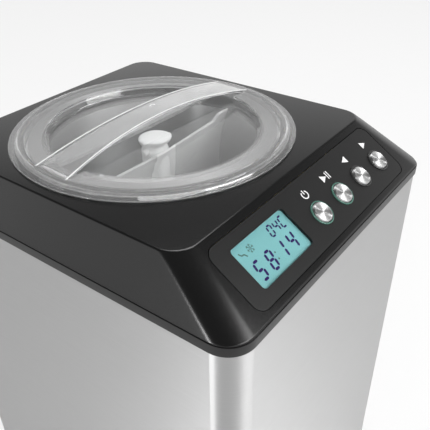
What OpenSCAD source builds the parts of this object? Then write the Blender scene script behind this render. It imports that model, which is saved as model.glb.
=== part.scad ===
// Countertop ice cream maker with a built-in compressor, a removable bowl and a clear lid.
// Millimetres, +Z up, front towards -Y, origin on the ground under the middle of the footprint.

/* [Body] */
// Width over the top cover's skirt
machine_w = 241; // [236:1:260]
// Depth over the top cover's skirt
machine_d = 279; // [275:1:310]
// Height of the flat top above the ground
top_z = 340; // [338:1:380]
// Sheet thickness of the steel casing
casing_wall = 1.2; // [0.8:0.1:1.6]
// How far the casing stands back from the skirt
casing_inset = 1; // [0.4:0.1:2]
// Height of the rubber feet under the base plate
foot_h = 8; // [5:1:14]
// Radius of each foot
foot_r = 12; // [9:1:14]
// Thickness of the base plate
base_t = 4; // [3:0.5:6]

/* [Top cover] */
// Height of the sloped sides
slope_h = 29; // [26:1:34]
// Height of the upright skirt under the slopes
skirt_h = 7; // [5:0.5:10]
// Run of the front slope
front_run = 45; // [43:1:50]
// Run of each side slope
side_run = 14.5; // [12:0.5:16]
// Run of the back slope
back_run = 17; // [14:0.5:19]
// Corner radius of the flat top
top_corner_r = 15; // [10:1:20]
// Corner radius of the skirt
skirt_corner_r = 17; // [14:1:19]
// Wall of the top cover
cover_wall = 3.2; // [2.8:0.1:3.6]

/* [Bowl and lid] */
// Inner radius of the bowl's mouth
bowl_r = 76; // [74:0.5:77]
// Depth of the bowl from the flat top to its floor
bowl_depth = 118; // [110:1:122]
// Sheet thickness of the bowl
bowl_wall = 1.5; // [1.2:0.1:1.8]
// Width of the bowl's flange
bowl_flange_w = 9; // [8:0.5:10]
// Outer radius of the lid's lip
lid_r = 99.3; // [98:0.1:101]
// Wall of the lid
lid_wall = 2; // [1.6:0.1:2.2]
// Height of the strip handle's crown above the flat top
handle_rise = 15.7; // [13:0.1:20]
// Width of the strip handle in the middle
handle_w = 22; // [20:1:26]
// Width of the strip handle at its ends
handle_end_w = 30; // [28:1:34]
// Turn of the handle from the sideways direction
handle_turn = -2.7; // [-4:0.1:4]

/* [Controls] */
// Width of the control plate
plate_w = 184; // [180:1:190]
// Length of the control plate down the slope
plate_l = 42.7; // [41:0.1:44]
// Thickness of the control plate
plate_t = 2; // [1.6:0.1:2.2]
// Width of the display window
window_w = 51.7; // [46:0.1:53]
// Length of the display window down the slope
window_l = 27.2; // [24:0.1:30]
// Radius of each button's metal cap
button_r = 6.6; // [5.5:0.1:7]
// Spacing of the buttons
button_pitch = 26.8; // [24:0.1:28]
// Travel of each button
button_travel = 1.2; // [0.6:0.1:1.4]

/* [Drive] */
// Radius of the drive shaft
shaft_r = 5; // [4:0.1:5.5]
// Running clearance round a shaft
running_gap = 0.05; // [0.02:0.01:0.08]
// Width across flats of the shaft's hexagonal head
hex_flats = 12; // [11:0.1:13]
// Gear module
gear_module = 2; // [1.8:0.1:2]
// Teeth of the drive gear
gear_teeth = 48; // [44:1:50]
// Teeth of the motor pinion
pinion_teeth = 12; // [12:1:14]
// Radius of the drive motor
motor_r = 28; // [22:1:32]

/* [Cooling] */
// Radius of the evaporator tube
coil_r = 4; // [3:0.1:4]
// Turns of the evaporator coil
coil_turns = 7; // [4:1:7]
// Radius of the compressor shell
compressor_r = 48; // [42:1:50]
// Height of the compressor shell
compressor_h = 108; // [90:1:115]
// Outer radius of the fan blades
fan_r = 40; // [34:1:42]
// Number of fan blades
fan_blades = 7; // [5:1:9]

/* [Hidden] */
fine = 96;
hull_fn = 32;
eps = 0.01;
fit = 0.2; // static clearance between assembled pieces
free = 0.4; // clearance between pieces that move past each other

// Main levels and outlines
skirt_top_z = top_z - slope_h;
skirt_z = skirt_top_z - skirt_h;
casing_w = machine_w - 2 * casing_inset;
casing_d = machine_d - 2 * casing_inset;
casing_r = skirt_corner_r - casing_inset;
inner_w = casing_w - 2 * casing_wall;
inner_d = casing_d - 2 * casing_wall;
inner_r = casing_r - casing_wall;
base_z = foot_h;
base_top = base_z + base_t;
front_edge_y = -machine_d / 2 + front_run;
back_edge_y = machine_d / 2 - back_run;
top_w = machine_w - 2 * side_run;
top_d = back_edge_y - front_edge_y;
top_mid_y = (back_edge_y + front_edge_y) / 2;
bowl_y = top_mid_y + 1;
slope_angle = atan2(slope_h, front_run);

// Bowl, cup and insulation
floor_z = top_z - bowl_depth;
bowl_bottom_z = floor_z - bowl_wall;
bead_z = top_z - 9;
bead_step = 1;
bowl_flange_z = top_z - 1;
bowl_flange_r = bowl_r + bowl_wall + bowl_flange_w;
bowl_fillet = 12;
tube_r = 10.5; // outside of the bowl's centre tube
tube_h = 40;
cup_gap = 1;
cup_wall = 2;
cup_r = bowl_r + bowl_wall + cup_gap;
cup_floor_z = bowl_bottom_z - 4.5;
cup_flange_z = top_z - 6;
cup_flange_t = 2;
cup_flange_r = cup_r + 10;
boss_r = 13;
boss_top_z = bowl_bottom_z - 1.5;
coil_sag = 0.4; // room for the flats between the coil's rings
coil_mid_r = cup_r + cup_wall + fit + coil_r + coil_sag;
cavity_r = coil_mid_r + coil_r + 0.7;
foam_half = inner_w / 2 - 15.3;
foam_front_y = front_edge_y + 6.5; // behind the control board
foam_back_y = inner_d / 2 - 19.3;
foam_corner = 25;
foam_top_z = cup_flange_z - 0.1;
foam_step_z = skirt_top_z + 11;
shelf_z = 184;
shelf_t = 2;
foam_floor_z = cup_floor_z - cup_wall - 0.2;

// Lid and the opening that it turns in
opening_r = 92;
skirt_out_r = opening_r - 1;
skirt_in_r = skirt_out_r - lid_wall;
lid_lift = 0.3; // the lip stands this much over the flat top
lug_len = 3.5;
lug_t = 2;
lug_count = 3;
lug_half = 5;
notch_half = 8;
notch_r = skirt_out_r + lug_len + 0.5;
lug_top_z = top_z - cover_wall - free;
lug_turn = 60;
handle_half = 90;
crown_z = top_z + handle_rise;
rim_top_z = top_z + 4.2;
handle_drop = crown_z - rim_top_z;
handle_arc_r = (handle_half * handle_half + handle_drop * handle_drop) / (2 * handle_drop);

// Control plate on the front slope: x across, y up the slope, z out of the slope
slope_l = norm([front_run, slope_h]);
plate_top = 5.6;
plate_corner = 7;
ring_r = button_r + 1.6;
ring_gap = 0.3;
spare_w = plate_w - window_w - 2 * ring_r - 3 * button_pitch;
window_share = 0.37; // of the spare width, left of the window
button_share = 0.22; // of the spare width, right of the last ring
window_x = -plate_w / 2 + window_share * spare_w + window_w / 2;
window_v = 26.9;
button_x = plate_w / 2 - button_share * spare_w - ring_r - 3 * button_pitch;
button_v = 31.5;
ring_top = 0.8;
cap_top = 1.8;
board_top = -12; // face of the control board under the slope
board_t = 1.6;
switch_h = 4;
plunger_h = 0.6;
stem_end = board_top + switch_h + plunger_h + button_travel + 0.1;

// Drive train
head_r = hex_flats / 2 / cos(30);
head_z = floor_z + 48;
head_h = 28;
gear_z = 168;
gear_t = 10;
gear_r = gear_module * gear_teeth / 2;
pinion_r = gear_module * pinion_teeth / 2;
gear_gap = 0.15;
motor_y = bowl_y - gear_r - pinion_r - gear_gap;
bracket_z = 160;
bracket_t = 3;
motor_h = 58;
motor_shaft_r = 4;
shaft_low_z = bracket_z - 4;
bush_wall = 4;
seal_low_z = cup_floor_z - 10;

// Cooling parts in the lower half
mount_h = 10;
leg_t = 3; // strap legs under the compressor
leg_w = 18;
leg_out = 11;
weld_t = 1.5; // raised seam round the compressor
shell_low_r = 16;
shell_top_r = 24;
comp_x = compressor_r + 10.3 - inner_w / 2;
comp_y = inner_d / 2 - compressor_r - 17.3;
comp_z = base_top + mount_h;
comp_top = comp_z + leg_t + compressor_h;
drier_x = comp_x + compressor_r + 10.5;
drier_y = bowl_y + gear_r + 9; // behind the drive gear
drier_z = base_top + 58;
cond_left_x = drier_x + 6.5;
cond_right_x = inner_w / 2 - 5.3;
cond_w = cond_right_x - cond_left_x;
cond_d = 26;
cond_h = 112;
cond_x = (cond_left_x + cond_right_x) / 2;
cond_rows = [for (k = [0 : 4]) 16 + k * (cond_h - 32) / 4]; // heights of its tube rows
cond_row_y = cond_d / 4;
cond_y = inner_d / 2 - 16 - cond_d / 2;
cond_z = base_top;
shroud = 2 * fan_r + 14;
shroud_t = 22;
fan_wall = 4; // back of the shroud, which carries the fan's pin
fan_pin_r = 3;
fan_hub_r = 14;
fan_y = cond_y - cond_d / 2 - shroud_t / 2 - 2;
fan_z = cond_z + 58;
foot_x = machine_w / 2 - 20;
foot_y = machine_d / 2 - 20;
post_x = machine_w / 2 - 13;
post_y = machine_d / 2 - 13;
vent_x = 97;
vent_z0 = 34;
vent_z1 = 182;
rear_t = 2;
rear_y = inner_d / 2 - rear_t;
ribbon_x = 32;
ribbon_w = 26;
ribbon_t = 1.2;
ribbon_y = -inner_d / 2 + 11;
ribbon_top = skirt_z - 0.8;
inlet_x = -60;
inlet_z = 162;

// ---------- helpers ----------

// Rounded rectangle centred on the origin
module round_rect(w, d, r, sides = fine) {
    union() {
        square([w - 2 * r, d], center = true);
        square([w, d - 2 * r], center = true);
        for (sx = [-1, 1], sy = [-1, 1])
            translate([sx * (w / 2 - r), sy * (d / 2 - r)]) circle(r = r, $fn = sides);
    }
}

// Upright rounded block between two heights
module block(w, d, r, z0, z1) {
    translate([0, 0, z0]) linear_extrude(z1 - z0) round_rect(w, d, r);
}

// Upright cylinder between two heights
module rod(r, z0, z1) {
    translate([0, 0, z0]) cylinder(r = r, h = z1 - z0, $fn = fine);
}

// Upright tube between two heights
module tube(r_out, r_in, z0, z1) {
    difference() {
        rod(r_out, z0, z1);
        rod(r_in, z0 - 1, z1 + 1);
    }
}

// Places children on the front slope, with z pointing out of it
module on_slope() {
    translate([0, front_edge_y, top_z]) rotate([slope_angle, 0, 0]) children();
}

// Slab on the slope: x and distance down the slope of its centre, and its two depths
module slope_slab(x, v, w, l, r, z0, z1) {
    on_slope() translate([x, -v, z0]) linear_extrude(z1 - z0) round_rect(w, l, r);
}

// Round piece on the slope
module slope_rod(x, v, r, z0, z1) {
    on_slope() translate([x, -v, 0]) rod(r, z0, z1);
}

// Places children round the bowl's axis
module at_bowl() {
    translate([0, bowl_y, 0]) children();
}

// Points of a circular arc in a section
function arc(cx, cy, r, a0, a1, n = 8) =
    [for (i = [0 : n]) [cx + r * cos(a0 + (a1 - a0) * i / n), cy + r * sin(a0 + (a1 - a0) * i / n)]];

// Involute gear outline
function involute(a) = tan(a) * 180 / PI - a;
function tooth_half(m, n, pa, play, r) =
    90 / n - play * 180 / (PI * m * n) + involute(pa) - involute(acos(min(1, m * n * cos(pa) / 2 / r)));
module gear_outline(m, n) {
    pa = 25;
    add = 0.8 * m;
    ded = 1.05 * m;
    play = 0.35;
    base = m * n * cos(pa) / 2;
    root = m * n / 2 - ded;
    tip = m * n / 2 + add;
    start = max(base, root);
    steps = 4;
    flank = [for (i = [0 : steps]) start + (tip - start) * i / steps];
    pts = [for (k = [0 : n - 1]) each concat(
        [[root, k * 360 / n - tooth_half(m, n, pa, play, start)]],
        [for (r = flank) [r, k * 360 / n - tooth_half(m, n, pa, play, r)]],
        [for (i = [steps : -1 : 0]) [flank[i], k * 360 / n + tooth_half(m, n, pa, play, flank[i])]],
        [[root - eps, k * 360 / n + tooth_half(m, n, pa, play, start)]])];
    polygon([for (p = pts) [p[0] * cos(p[1]), p[0] * sin(p[1])]]);
}

// Round tube swept along a list of points
function unit(v) = v / norm(v);
function side_of(t) = unit(cross(t, abs(t[2]) < 0.9 ? [0, 0, 1] : [1, 0, 0]));
module sweep(path, r, sides = 8) {
    n = len(path);
    dirs = [for (i = [0 : n - 1]) unit(path[min(i + 1, n - 1)] - path[max(i - 1, 0)])];
    rings = [for (i = [0 : n - 1]) let (s = side_of(dirs[i]), u = cross(s, dirs[i]))
        each [for (k = [0 : sides - 1]) let (a = 360 * k / sides) path[i] + r * (cos(a) * s + sin(a) * u)]];
    walls = [for (i = [0 : n - 2], k = [0 : sides - 1])
        let (j = (k + 1) % sides, a = i * sides, b = a + sides) [a + j, b + j, b + k, a + k]];
    ends = [[for (k = [sides - 1 : -1 : 0]) k], [for (k = [0 : sides - 1]) (n - 1) * sides + k]];
    polyhedron(rings, concat(walls, ends), convexity = 6);
}

// Rounded route through a few corner points
function bend(a, b, c, r, n = 4) =
    let (p = b + unit(a - b) * r, q = b + unit(c - b) * r)
    [for (i = [0 : n]) let (t = i / n) (1 - t) * (1 - t) * p + 2 * t * (1 - t) * b + t * t * q];
function route(c, r) = concat([c[0]],
    [for (i = [1 : len(c) - 2]) each bend(c[i - 1], c[i], c[i + 1], r)], [c[len(c) - 1]]);

// Screw with a pan head, pointing down from its head's seat
module screw(r, l, head_r, head_h) {
    rod(r, -l, 0);
    difference() {
        rod(head_r, 0, head_h);
        for (a = [0, 90]) rotate(a)
            translate([-head_r * 0.6, -0.4, head_h - 0.7]) cube([head_r * 1.2, 0.8, 1]);
    }
}

// ---------- outer shell ----------

module corner_places(x, y) {
    for (sx = [-1, 1], sy = [-1, 1]) translate([sx * x, sy * y, 0]) children();
}

module steel_casing() color("silver") difference() {
    block(casing_w, casing_d, casing_r, base_top, skirt_z);
    block(inner_w, inner_d, inner_r, base_top - 1, skirt_z + 1);
    translate([-vent_x + 7, 0, vent_z0 + 7]) cube([2 * vent_x - 14, machine_d, vent_z1 - vent_z0 - 14]);
    rear_screw_places() rotate([-90, 0, 0]) cylinder(r = 1.6, h = 20, $fn = fine);
}

// Solid frustum of the top cover, drawn in by a wall thickness
module frustum(wall) {
    side_in = wall / cos(atan2(side_run, slope_h));
    front_in = wall / cos(atan2(front_run, slope_h));
    back_in = wall / cos(atan2(back_run, slope_h));
    side_k = side_run / slope_h;
    front_k = front_run / slope_h;
    back_k = back_run / slope_h;
    low = [machine_w / 2 - side_in, -machine_d / 2 + front_in, machine_d / 2 - back_in];
    rise = slope_h - wall;
    high = [low[0] - side_k * rise, low[1] + front_k * rise, low[2] - back_k * rise];
    low_r = skirt_corner_r - wall;
    high_r = top_corner_r - wall * 0.5;
    hull() {
        frustum_layer(low, low_r, skirt_top_z);
        frustum_layer(high, high_r, top_z - wall - eps);
    }
}

// One thin layer of the frustum: half width, front y, back y
module frustum_layer(edge, r, z) {
    translate([0, (edge[1] + edge[2]) / 2, z])
        linear_extrude(eps) round_rect(2 * edge[0], edge[2] - edge[1], r, hull_fn);
}

module top_cover() color("#222222") difference() {
    union() {
        difference() {
            union() {
                frustum(0);
                block(machine_w, machine_d, skirt_corner_r, skirt_z, skirt_top_z + eps);
            }
            frustum(cover_wall);
            block(machine_w - 2 * cover_wall, machine_d - 2 * cover_wall, skirt_corner_r - cover_wall,
                skirt_z - 1, skirt_top_z + eps);
        }
        // tongue inside the casing
        difference() {
            block(inner_w - 2 * fit, inner_d - 2 * fit, inner_r - fit, skirt_z - 6, skirt_z + 2);
            block(inner_w - 5, inner_d - 5, inner_r - 2.5, skirt_z - 7, skirt_z + 3);
        }
        // screw bosses over the posts
        intersection() {
            corner_places(post_x, post_y) rod(5.5, skirt_z - 6, top_z);
            union() {
                frustum(cover_wall / 2);
                block(inner_w - 2 * fit, inner_d - 2 * fit, inner_r - fit, skirt_z - 7, skirt_top_z + eps);
            }
        }
    }
    at_bowl() rod(opening_r, skirt_z, top_z + 1);
    at_bowl() lug_sectors(notch_half, notch_r, skirt_top_z + 10, top_z + 1);
    slope_slab(0, plate_top + plate_l / 2, plate_w + 2 * fit, plate_l + 2 * fit, plate_corner, -plate_t, 5);
    slope_slab(window_x, window_v, window_w + 4, window_l + 4, 3, -cover_wall - 1, 1);
    for (i = [0 : 3])
        slope_rod(button_x + i * button_pitch, button_v, button_r + ring_gap, -cover_wall - 1, 1);
    corner_places(post_x, post_y) rod(1.7, skirt_z - 7, skirt_z + 6);
}

// Sectors round the bowl's axis for the lid's lugs and their notches
module lug_sectors(half, r, z0, z1) {
    for (k = [0 : lug_count - 1]) rotate(lug_turn + k * 360 / lug_count)
        intersection() {
            translate([0, 0, z0]) linear_extrude(z1 - z0)
                polygon([[0, 0], [r + 20, -(r + 20) * tan(half)], [r + 20, (r + 20) * tan(half)]]);
            rod(r, z0, z1);
        }
}

module rear_screw_places() {
    for (sx = [-1, 1], z = [vent_z0 + 3.5, vent_z1 - 3.5])
        translate([sx * (vent_x - 12), rear_y - 1, z]) children();
}

module rear_cover() color("#2a2a2a") difference() {
    translate([-vent_x, rear_y, vent_z0]) cube([2 * vent_x, rear_t, vent_z1 - vent_z0]);
    for (i = [-6 : 6]) translate([i * 13 - 3, rear_y - 1, 50]) cube([6, rear_t + 2, 96]);
    translate([inlet_x - 14, rear_y - 1, inlet_z - 10]) cube([28, rear_t + 2, 20]);
    rear_screw_places() rotate([-90, 0, 0]) cylinder(r = 1.4, h = 20, $fn = fine);
}

module rear_screws() color("silver") rear_screw_places()
    translate([0, casing_d / 2 - rear_y + 1, 0]) rotate([-90, 0, 0]) screw(1.3, 5, 3, 0.45);

module base_plate() color("#2a2a2a") difference() {
    union() {
        block(casing_w, casing_d, casing_r, base_z, base_top);
        difference() {
            block(inner_w - 2 * fit, inner_d - 2 * fit, inner_r - fit, base_z, base_top + 6);
            block(inner_w - 5, inner_d - 5, inner_r - 2.5, base_top, base_top + 7);
        }
    }
    corner_places(foot_x, foot_y) rod(4.1, base_z - 1, base_top + 1);
    compressor_feet() rod(2.6, base_z - 1, base_top + 1);
    board_places() rod(1.5, base_z - 1, base_top + 1);
    for (i = [-3 : 3]) translate([cond_x + i * 13 - 3, -20, base_z - 1]) cube([6, 60, base_t + 2]);
}

module feet() color("#181818") corner_places(foot_x, foot_y) {
    rod(foot_r, 0, base_z);
    rod(4, base_z - eps, base_top);
}

module base_screws() color("silver") board_places()
    translate([0, 0, base_z]) rotate([180, 0, 0]) screw(1.3, base_t + 4, 2.6, 1.4);

// ---------- control panel ----------

module control_plate() color("#3c3c3c") difference() {
    slope_slab(0, plate_top + plate_l / 2, plate_w, plate_l, plate_corner, -plate_t, 0);
    slope_slab(window_x, window_v, window_w, window_l, 2.5, -plate_t - 1, 1);
    for (i = [0 : 3]) slope_rod(button_x + i * button_pitch, button_v, ring_r + 0.1, -plate_t - 1, 1);
}

module display_window() color("lightcyan", 0.4)
    slope_slab(window_x, window_v, window_w - 2 * fit, window_l - 2 * fit, 2.3, -plate_t, -0.9);

module lcd_panel() color("#7fbcbc")
    slope_slab(window_x, window_v, window_w + 3, window_l + 3, 2, -plate_t - 2.1, -plate_t);

module lcd_frame() color("white") difference() {
    slope_slab(window_x, window_v, window_w + 3, window_l + 3, 2, board_top, -plate_t - 2.1);
    slope_slab(window_x, window_v, window_w - 2, window_l - 2, 1, board_top + 2, -plate_t - 1.1);
}

module control_board() color("darkgreen")
    slope_slab(0, plate_top + plate_l / 2 - 1, plate_w - 8, plate_l - 3, 2, board_top - board_t, board_top);

module tact_switches() color("#333333") for (i = [0 : 3]) {
    slope_slab(button_x + i * button_pitch, button_v, 6, 6, 0.5, board_top, board_top + switch_h);
    slope_rod(button_x + i * button_pitch, button_v, 1.75, board_top + switch_h - eps,
        board_top + switch_h + plunger_h);
}

module button(i) color("gainsboro") {
    x = button_x + i * button_pitch;
    difference() {
        union() {
            slope_rod(x, button_v, button_r, -cover_wall - 2, cap_top);
            slope_rod(x, button_v, button_r + 1.6, -cover_wall - 2, -cover_wall - free);
            slope_rod(x, button_v, 2.5, stem_end, -cover_wall - 1.9);
        }
        // the spun face is dished
        slope_rod(x, button_v, button_r - 0.9, cap_top - 0.3, cap_top + 1);
    }
}
module power_button() button(0);
module start_button() button(1);
module left_button() button(2);
module right_button() button(3);

// Ring round one button
module button_ring(i) {
    on_slope() translate([button_x + i * button_pitch, -button_v, 0])
        tube(ring_r, button_r + ring_gap, -plate_t, ring_top);
}
module light_rings() color("#7fb5a8") for (i = [0, 1]) button_ring(i);
module trim_rings() color("#333333") for (i = [2, 3]) button_ring(i);

// ---------- lid, bowl and paddle ----------

// Half width of the strip handle at a distance along it
function strip_half(x, grow) = (handle_w + (handle_end_w - handle_w) * pow(x / handle_half, 2)) / 2 - grow;

// Solid under the handle's arch, drawn in by a wall
module strip_solid(wall, z0) {
    reach = handle_half - 2.5 * wall;
    steps = 24;
    xs = [for (i = [0 : steps]) -reach + 2 * reach * i / steps];
    intersection() {
        translate([0, 0, z0]) linear_extrude(crown_z - z0 + 5)
            polygon(concat([for (x = xs) [x, -strip_half(x, wall)]],
                [for (i = [0 : steps]) [xs[steps - i], strip_half(xs[steps - i], wall)]]));
        rotate([90, 0, 0]) translate([0, 0, -handle_end_w]) linear_extrude(2 * handle_end_w)
            polygon(concat([[reach, z0], [-reach, z0]],
                [for (x = xs) [x, crown_z - handle_arc_r + sqrt(pow(handle_arc_r, 2) - x * x) - wall]]));
    }
}

module lid_disc() {
    under = top_z - 3.5;
    rotate_extrude($fn = fine) polygon(concat([
        [0, under],
        [bowl_r - 1.5, under],
        [bowl_r - free, top_z + 0.3],
        [bowl_r + 0.6, top_z + 1.3],
        [skirt_in_r, rim_top_z - lid_wall],
        [skirt_in_r, lug_top_z - lug_t],
        [skirt_out_r, lug_top_z - lug_t],
        [skirt_out_r, top_z + 1.3],
        [skirt_out_r + 4, top_z + 1.3],
        [skirt_out_r + 4, top_z + lid_lift],
        [lid_r - 0.5, top_z + lid_lift]],
        arc(lid_r - 0.6, top_z + lid_lift + 0.7, 0.6, -60, 80, 5),
        [[skirt_out_r + 4.4, top_z + 2],
        [skirt_out_r + 3, top_z + 3],
        [skirt_out_r + 1.4, rim_top_z],
        [bowl_r - 1.2, top_z + 3.1],
        [bowl_r - 3.5, under + lid_wall],
        [0, under + lid_wall]]));
}

module lid() color("white", 0.3) at_bowl() {
    difference() {
        union() {
            lid_disc();
            difference() {
                rotate(handle_turn) strip_solid(0, top_z - 3.5);
                tube(handle_half + 20, bowl_r - 1.5, top_z - 4, rim_top_z - lid_wall);
            }
        }
        rotate(handle_turn) strip_solid(lid_wall, top_z - 5);
    }
    difference() {
        lug_sectors(lug_half, skirt_out_r + lug_len, lug_top_z - lug_t, lug_top_z);
        rod(skirt_out_r - 0.5, lug_top_z - lug_t - 1, lug_top_z + 1);
    }
}

module lid_seal() color("#333333") at_bowl()
    tube(skirt_out_r + 3.6, skirt_out_r + 1.6, top_z + 0.1, top_z + 1.2);

module bowl() color("silver") at_bowl() {
    low_r = bowl_r - bead_step;
    inner_fillet = bowl_fillet - bowl_wall;
    rotate_extrude($fn = fine) polygon(concat(
        [[tube_r - bowl_wall, bowl_bottom_z]],
        arc(low_r + bowl_wall - bowl_fillet, bowl_bottom_z + bowl_fillet, bowl_fillet, -90, 0),
        [[low_r + bowl_wall, bead_z - 2],
        [bowl_r + bowl_wall, bead_z],
        [bowl_r + bowl_wall, bowl_flange_z]],
        [[bowl_flange_r, bowl_flange_z],
        [bowl_flange_r, bowl_flange_z + bowl_wall]],
        [[bowl_r, bowl_flange_z + bowl_wall],
        [bowl_r, bead_z],
        [low_r, bead_z - 2]],
        arc(low_r - inner_fillet, floor_z + inner_fillet, inner_fillet, 0, -90),
        [[tube_r, floor_z],
        [tube_r, floor_z + tube_h],
        [tube_r - bowl_wall, floor_z + tube_h]]));
}

module paddle() color("whitesmoke") at_bowl() {
    hub_r = 9.8;
    neck_r = 8;
    skirt_r = 14;
    low = floor_z + 3;
    sheet_t = 3;
    reach = bowl_r - 4;
    sheet_top = top_z - 12;
    lean_z = floor_z + 68;
    lean = 8.5;
    centre_y = -4;
    steps = 8;
    // centre line of the leaning sheet, from its foot to its top
    line = concat([[centre_y, low]],
        [for (i = [0 : steps]) let (f = i / steps)
            [centre_y - lean * f * f, lean_z + (sheet_top + 4 - lean_z) * f]]);
    difference() {
        union() {
            intersection() {
                rotate([90, 0, 90]) translate([0, 0, -reach]) linear_extrude(2 * reach)
                    polygon(concat([for (p = line) p - [sheet_t / 2, 0]],
                        [for (i = [steps + 1 : -1 : 0]) line[i] + [sheet_t / 2, 0]]));
                rotate_extrude($fn = fine) polygon(concat([[0, low]],
                    arc(reach - bowl_fillet, low + bowl_fillet, bowl_fillet, -90, 0),
                    [[reach, sheet_top + 4], [reach - 12, sheet_top + 4], [reach - 15, sheet_top + 1],
                    [reach - 16, sheet_top - 1], [0, sheet_top - 4]]));
            }
            rod(skirt_r, low, floor_z + tube_h + 4);
            translate([0, 0, floor_z + tube_h + 4 - eps])
                cylinder(r1 = skirt_r, r2 = hub_r, h = 4, $fn = fine);
            rod(hub_r, floor_z + tube_h + 8 - 2 * eps, sheet_top - 4);
            translate([0, 0, sheet_top - 4 - eps]) cylinder(r1 = hub_r, r2 = neck_r, h = 3, $fn = fine);
            rod(neck_r, sheet_top - 1 - 2 * eps, top_z - 9);
            rotate_extrude($fn = fine) polygon(concat([[0, top_z - 9.5], [11.6, top_z - 9.5]],
                arc(11.3, top_z - 7.6, 1, -20, 90, 4), [[0, top_z - 5.9]]));
            // grip pin on the neck
            translate([0, 0, sheet_top - 4]) rotate([0, -90, 0]) cylinder(r = 2.2, h = 12.5, $fn = fine);
        }
        rod(tube_r + 0.8, low - 1, floor_z + tube_h + 2);
        rotate(30) translate([0, 0, low])
            cylinder(r = head_r + 0.35, h = head_z + head_h + 1 - low, $fn = 6);
    }
}

// ---------- cold chamber ----------

module chamber_gasket() color("#222222") at_bowl()
    tube(bowl_flange_r - 0.5, cup_r + 0.5, cup_flange_z + cup_flange_t, bowl_flange_z);

module chamber_cup() color("#b8b8bc") at_bowl() {
    corner = 14;
    out_r = cup_r + cup_wall;
    difference() {
        union() {
            rotate_extrude($fn = fine) polygon(concat(
                [[boss_r - 3, cup_floor_z - cup_wall]],
                arc(out_r - corner, cup_floor_z - cup_wall + corner, corner, -90, 0),
                [[out_r, cup_flange_z],
                [cup_flange_r, cup_flange_z],
                [cup_flange_r, cup_flange_z + cup_flange_t],
                [cup_r, cup_flange_z + cup_flange_t]],
                arc(cup_r - corner + cup_wall, cup_floor_z + corner - cup_wall, corner - cup_wall, 0, -90),
                [[boss_r - 3, cup_floor_z]]));
            rod(boss_r, cup_floor_z - 12, boss_top_z);
        }
        rod(shaft_r + bush_wall + 0.1, cup_floor_z - 13, boss_top_z + 1);
    }
}

coil_low_z = cup_floor_z + 10;
coil_top_z = cup_flange_z - 17;
coil_pitch = (coil_top_z - coil_low_z) / coil_turns;
coil_start = 135;
coil_rings = 36; // rings of the swept tube in one turn
function coil_point(a, z) = [coil_mid_r * cos(a), bowl_y + coil_mid_r * sin(a), z];
module evaporator_coil() color("#b87333")
    sweep([for (i = [0 : coil_turns * coil_rings])
        coil_point(coil_start + i * 360 / coil_rings, coil_low_z + i * coil_pitch / coil_rings)], coil_r);

// Channel places beside the coil: a short way out and a drop to the lower half
pipe_angle = coil_start - 9;
capillary_angle = coil_start + 9;
pipe_out_r = coil_mid_r + 12;
channel_w = 52; // width of the pipes' channel in the foam
probe_r = 2;
capillary_r = 1.3;
suction_r = 3;
pipe_r = 2.5;
// Angle by which a pipe of this radius clears the coil's end face
function end_angle(r) = (r + fit) / coil_mid_r * 180 / PI;
function pipe_point(a, r, z) = [r * cos(a), bowl_y + r * sin(a), z];

module insulation() color("#f0e8c8") difference() {
    union() {
        translate([0, (foam_back_y + foam_front_y) / 2, 0])
            block(2 * foam_half, foam_back_y - foam_front_y, foam_corner, shelf_z + shelf_t, foam_step_z);
        at_bowl() rod(cavity_r + 3.5, foam_step_z - eps, foam_top_z);
    }
    at_bowl() rod(cavity_r, foam_floor_z, foam_top_z + 1);
    at_bowl() rod(boss_r + 0.5, shelf_z, foam_floor_z + 1);
    at_bowl() rotate(coil_start) translate([coil_mid_r, -channel_w / 2, shelf_z])
        cube([pipe_out_r + 5 - coil_mid_r, channel_w, foam_step_z - shelf_z - 2]);
    bracket_places() rod(3.5, shelf_z, shelf_z + shelf_t + 2);
}

module temperature_probe() color("silver") at_bowl() rotate(-60)
    translate([cup_r + cup_wall + probe_r + fit, 0, 0]) rod(probe_r, coil_top_z + 6, coil_top_z + 14);

// ---------- chassis ----------

module shelf_plate() color("#999999") difference() {
    block(inner_w - 2 * fit, inner_d - 2 * fit, inner_r - fit, shelf_z, shelf_z + shelf_t);
    at_bowl() rod(shaft_r + bush_wall + 0.1, shelf_z - 1, shelf_z + shelf_t + 1);
    for (a = [pipe_angle, capillary_angle]) at_bowl() rotate(a)
        translate([coil_mid_r + 1, -7, shelf_z - 1]) cube([17, 14, shelf_t + 2]);
    corner_places(post_x, post_y) rod(1.7, shelf_z - 1, shelf_z + shelf_t + 1);
    bracket_places() rod(1.7, shelf_z - 1, shelf_z + shelf_t + 1);
    translate([ribbon_x - fit, ribbon_y - fit, shelf_z - 1])
        cube([ribbon_w + 2 * fit, ribbon_t + 2 * fit, shelf_t + 2]);
}

module cover_posts() color("#888888") corner_places(post_x, post_y)
    difference() {
        rod(4, shelf_z + shelf_t, skirt_z - 6);
        rod(1.7, skirt_z - 18, skirt_z - 5);
        rod(1.7, shelf_z, shelf_z + shelf_t + 12);
    }

module cover_screws() color("silver") corner_places(post_x, post_y) {
    translate([0, 0, shelf_z]) rotate([180, 0, 0]) screw(1.5, 12, 3.2, 2);
    rod(1.5, skirt_z - 17, skirt_z + 4);
}

// Places of the motor bracket's four standoffs
module bracket_places() {
    for (sx = [-1, 1]) {
        translate([sx * (motor_r + 8), motor_y - motor_r + 6, 0]) children();
        translate([sx * (motor_r + 30), bowl_y + 18, 0]) children();
    }
}

module upper_bush() color("#b08d57") at_bowl() {
    tube(shaft_r + bush_wall, shaft_r + running_gap, shelf_z, seal_low_z - 4);
    tube(shaft_r + bush_wall + 4, shaft_r + running_gap, shelf_z - 2, shelf_z);
}

module lower_bush() color("#b08d57") at_bowl() {
    tube(shaft_r + bush_wall - 1, shaft_r + running_gap, bracket_z - 2, bracket_z + bracket_t);
    tube(shaft_r + bush_wall + 2, shaft_r + running_gap, bracket_z + bracket_t, bracket_z + bracket_t + 2);
}

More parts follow.
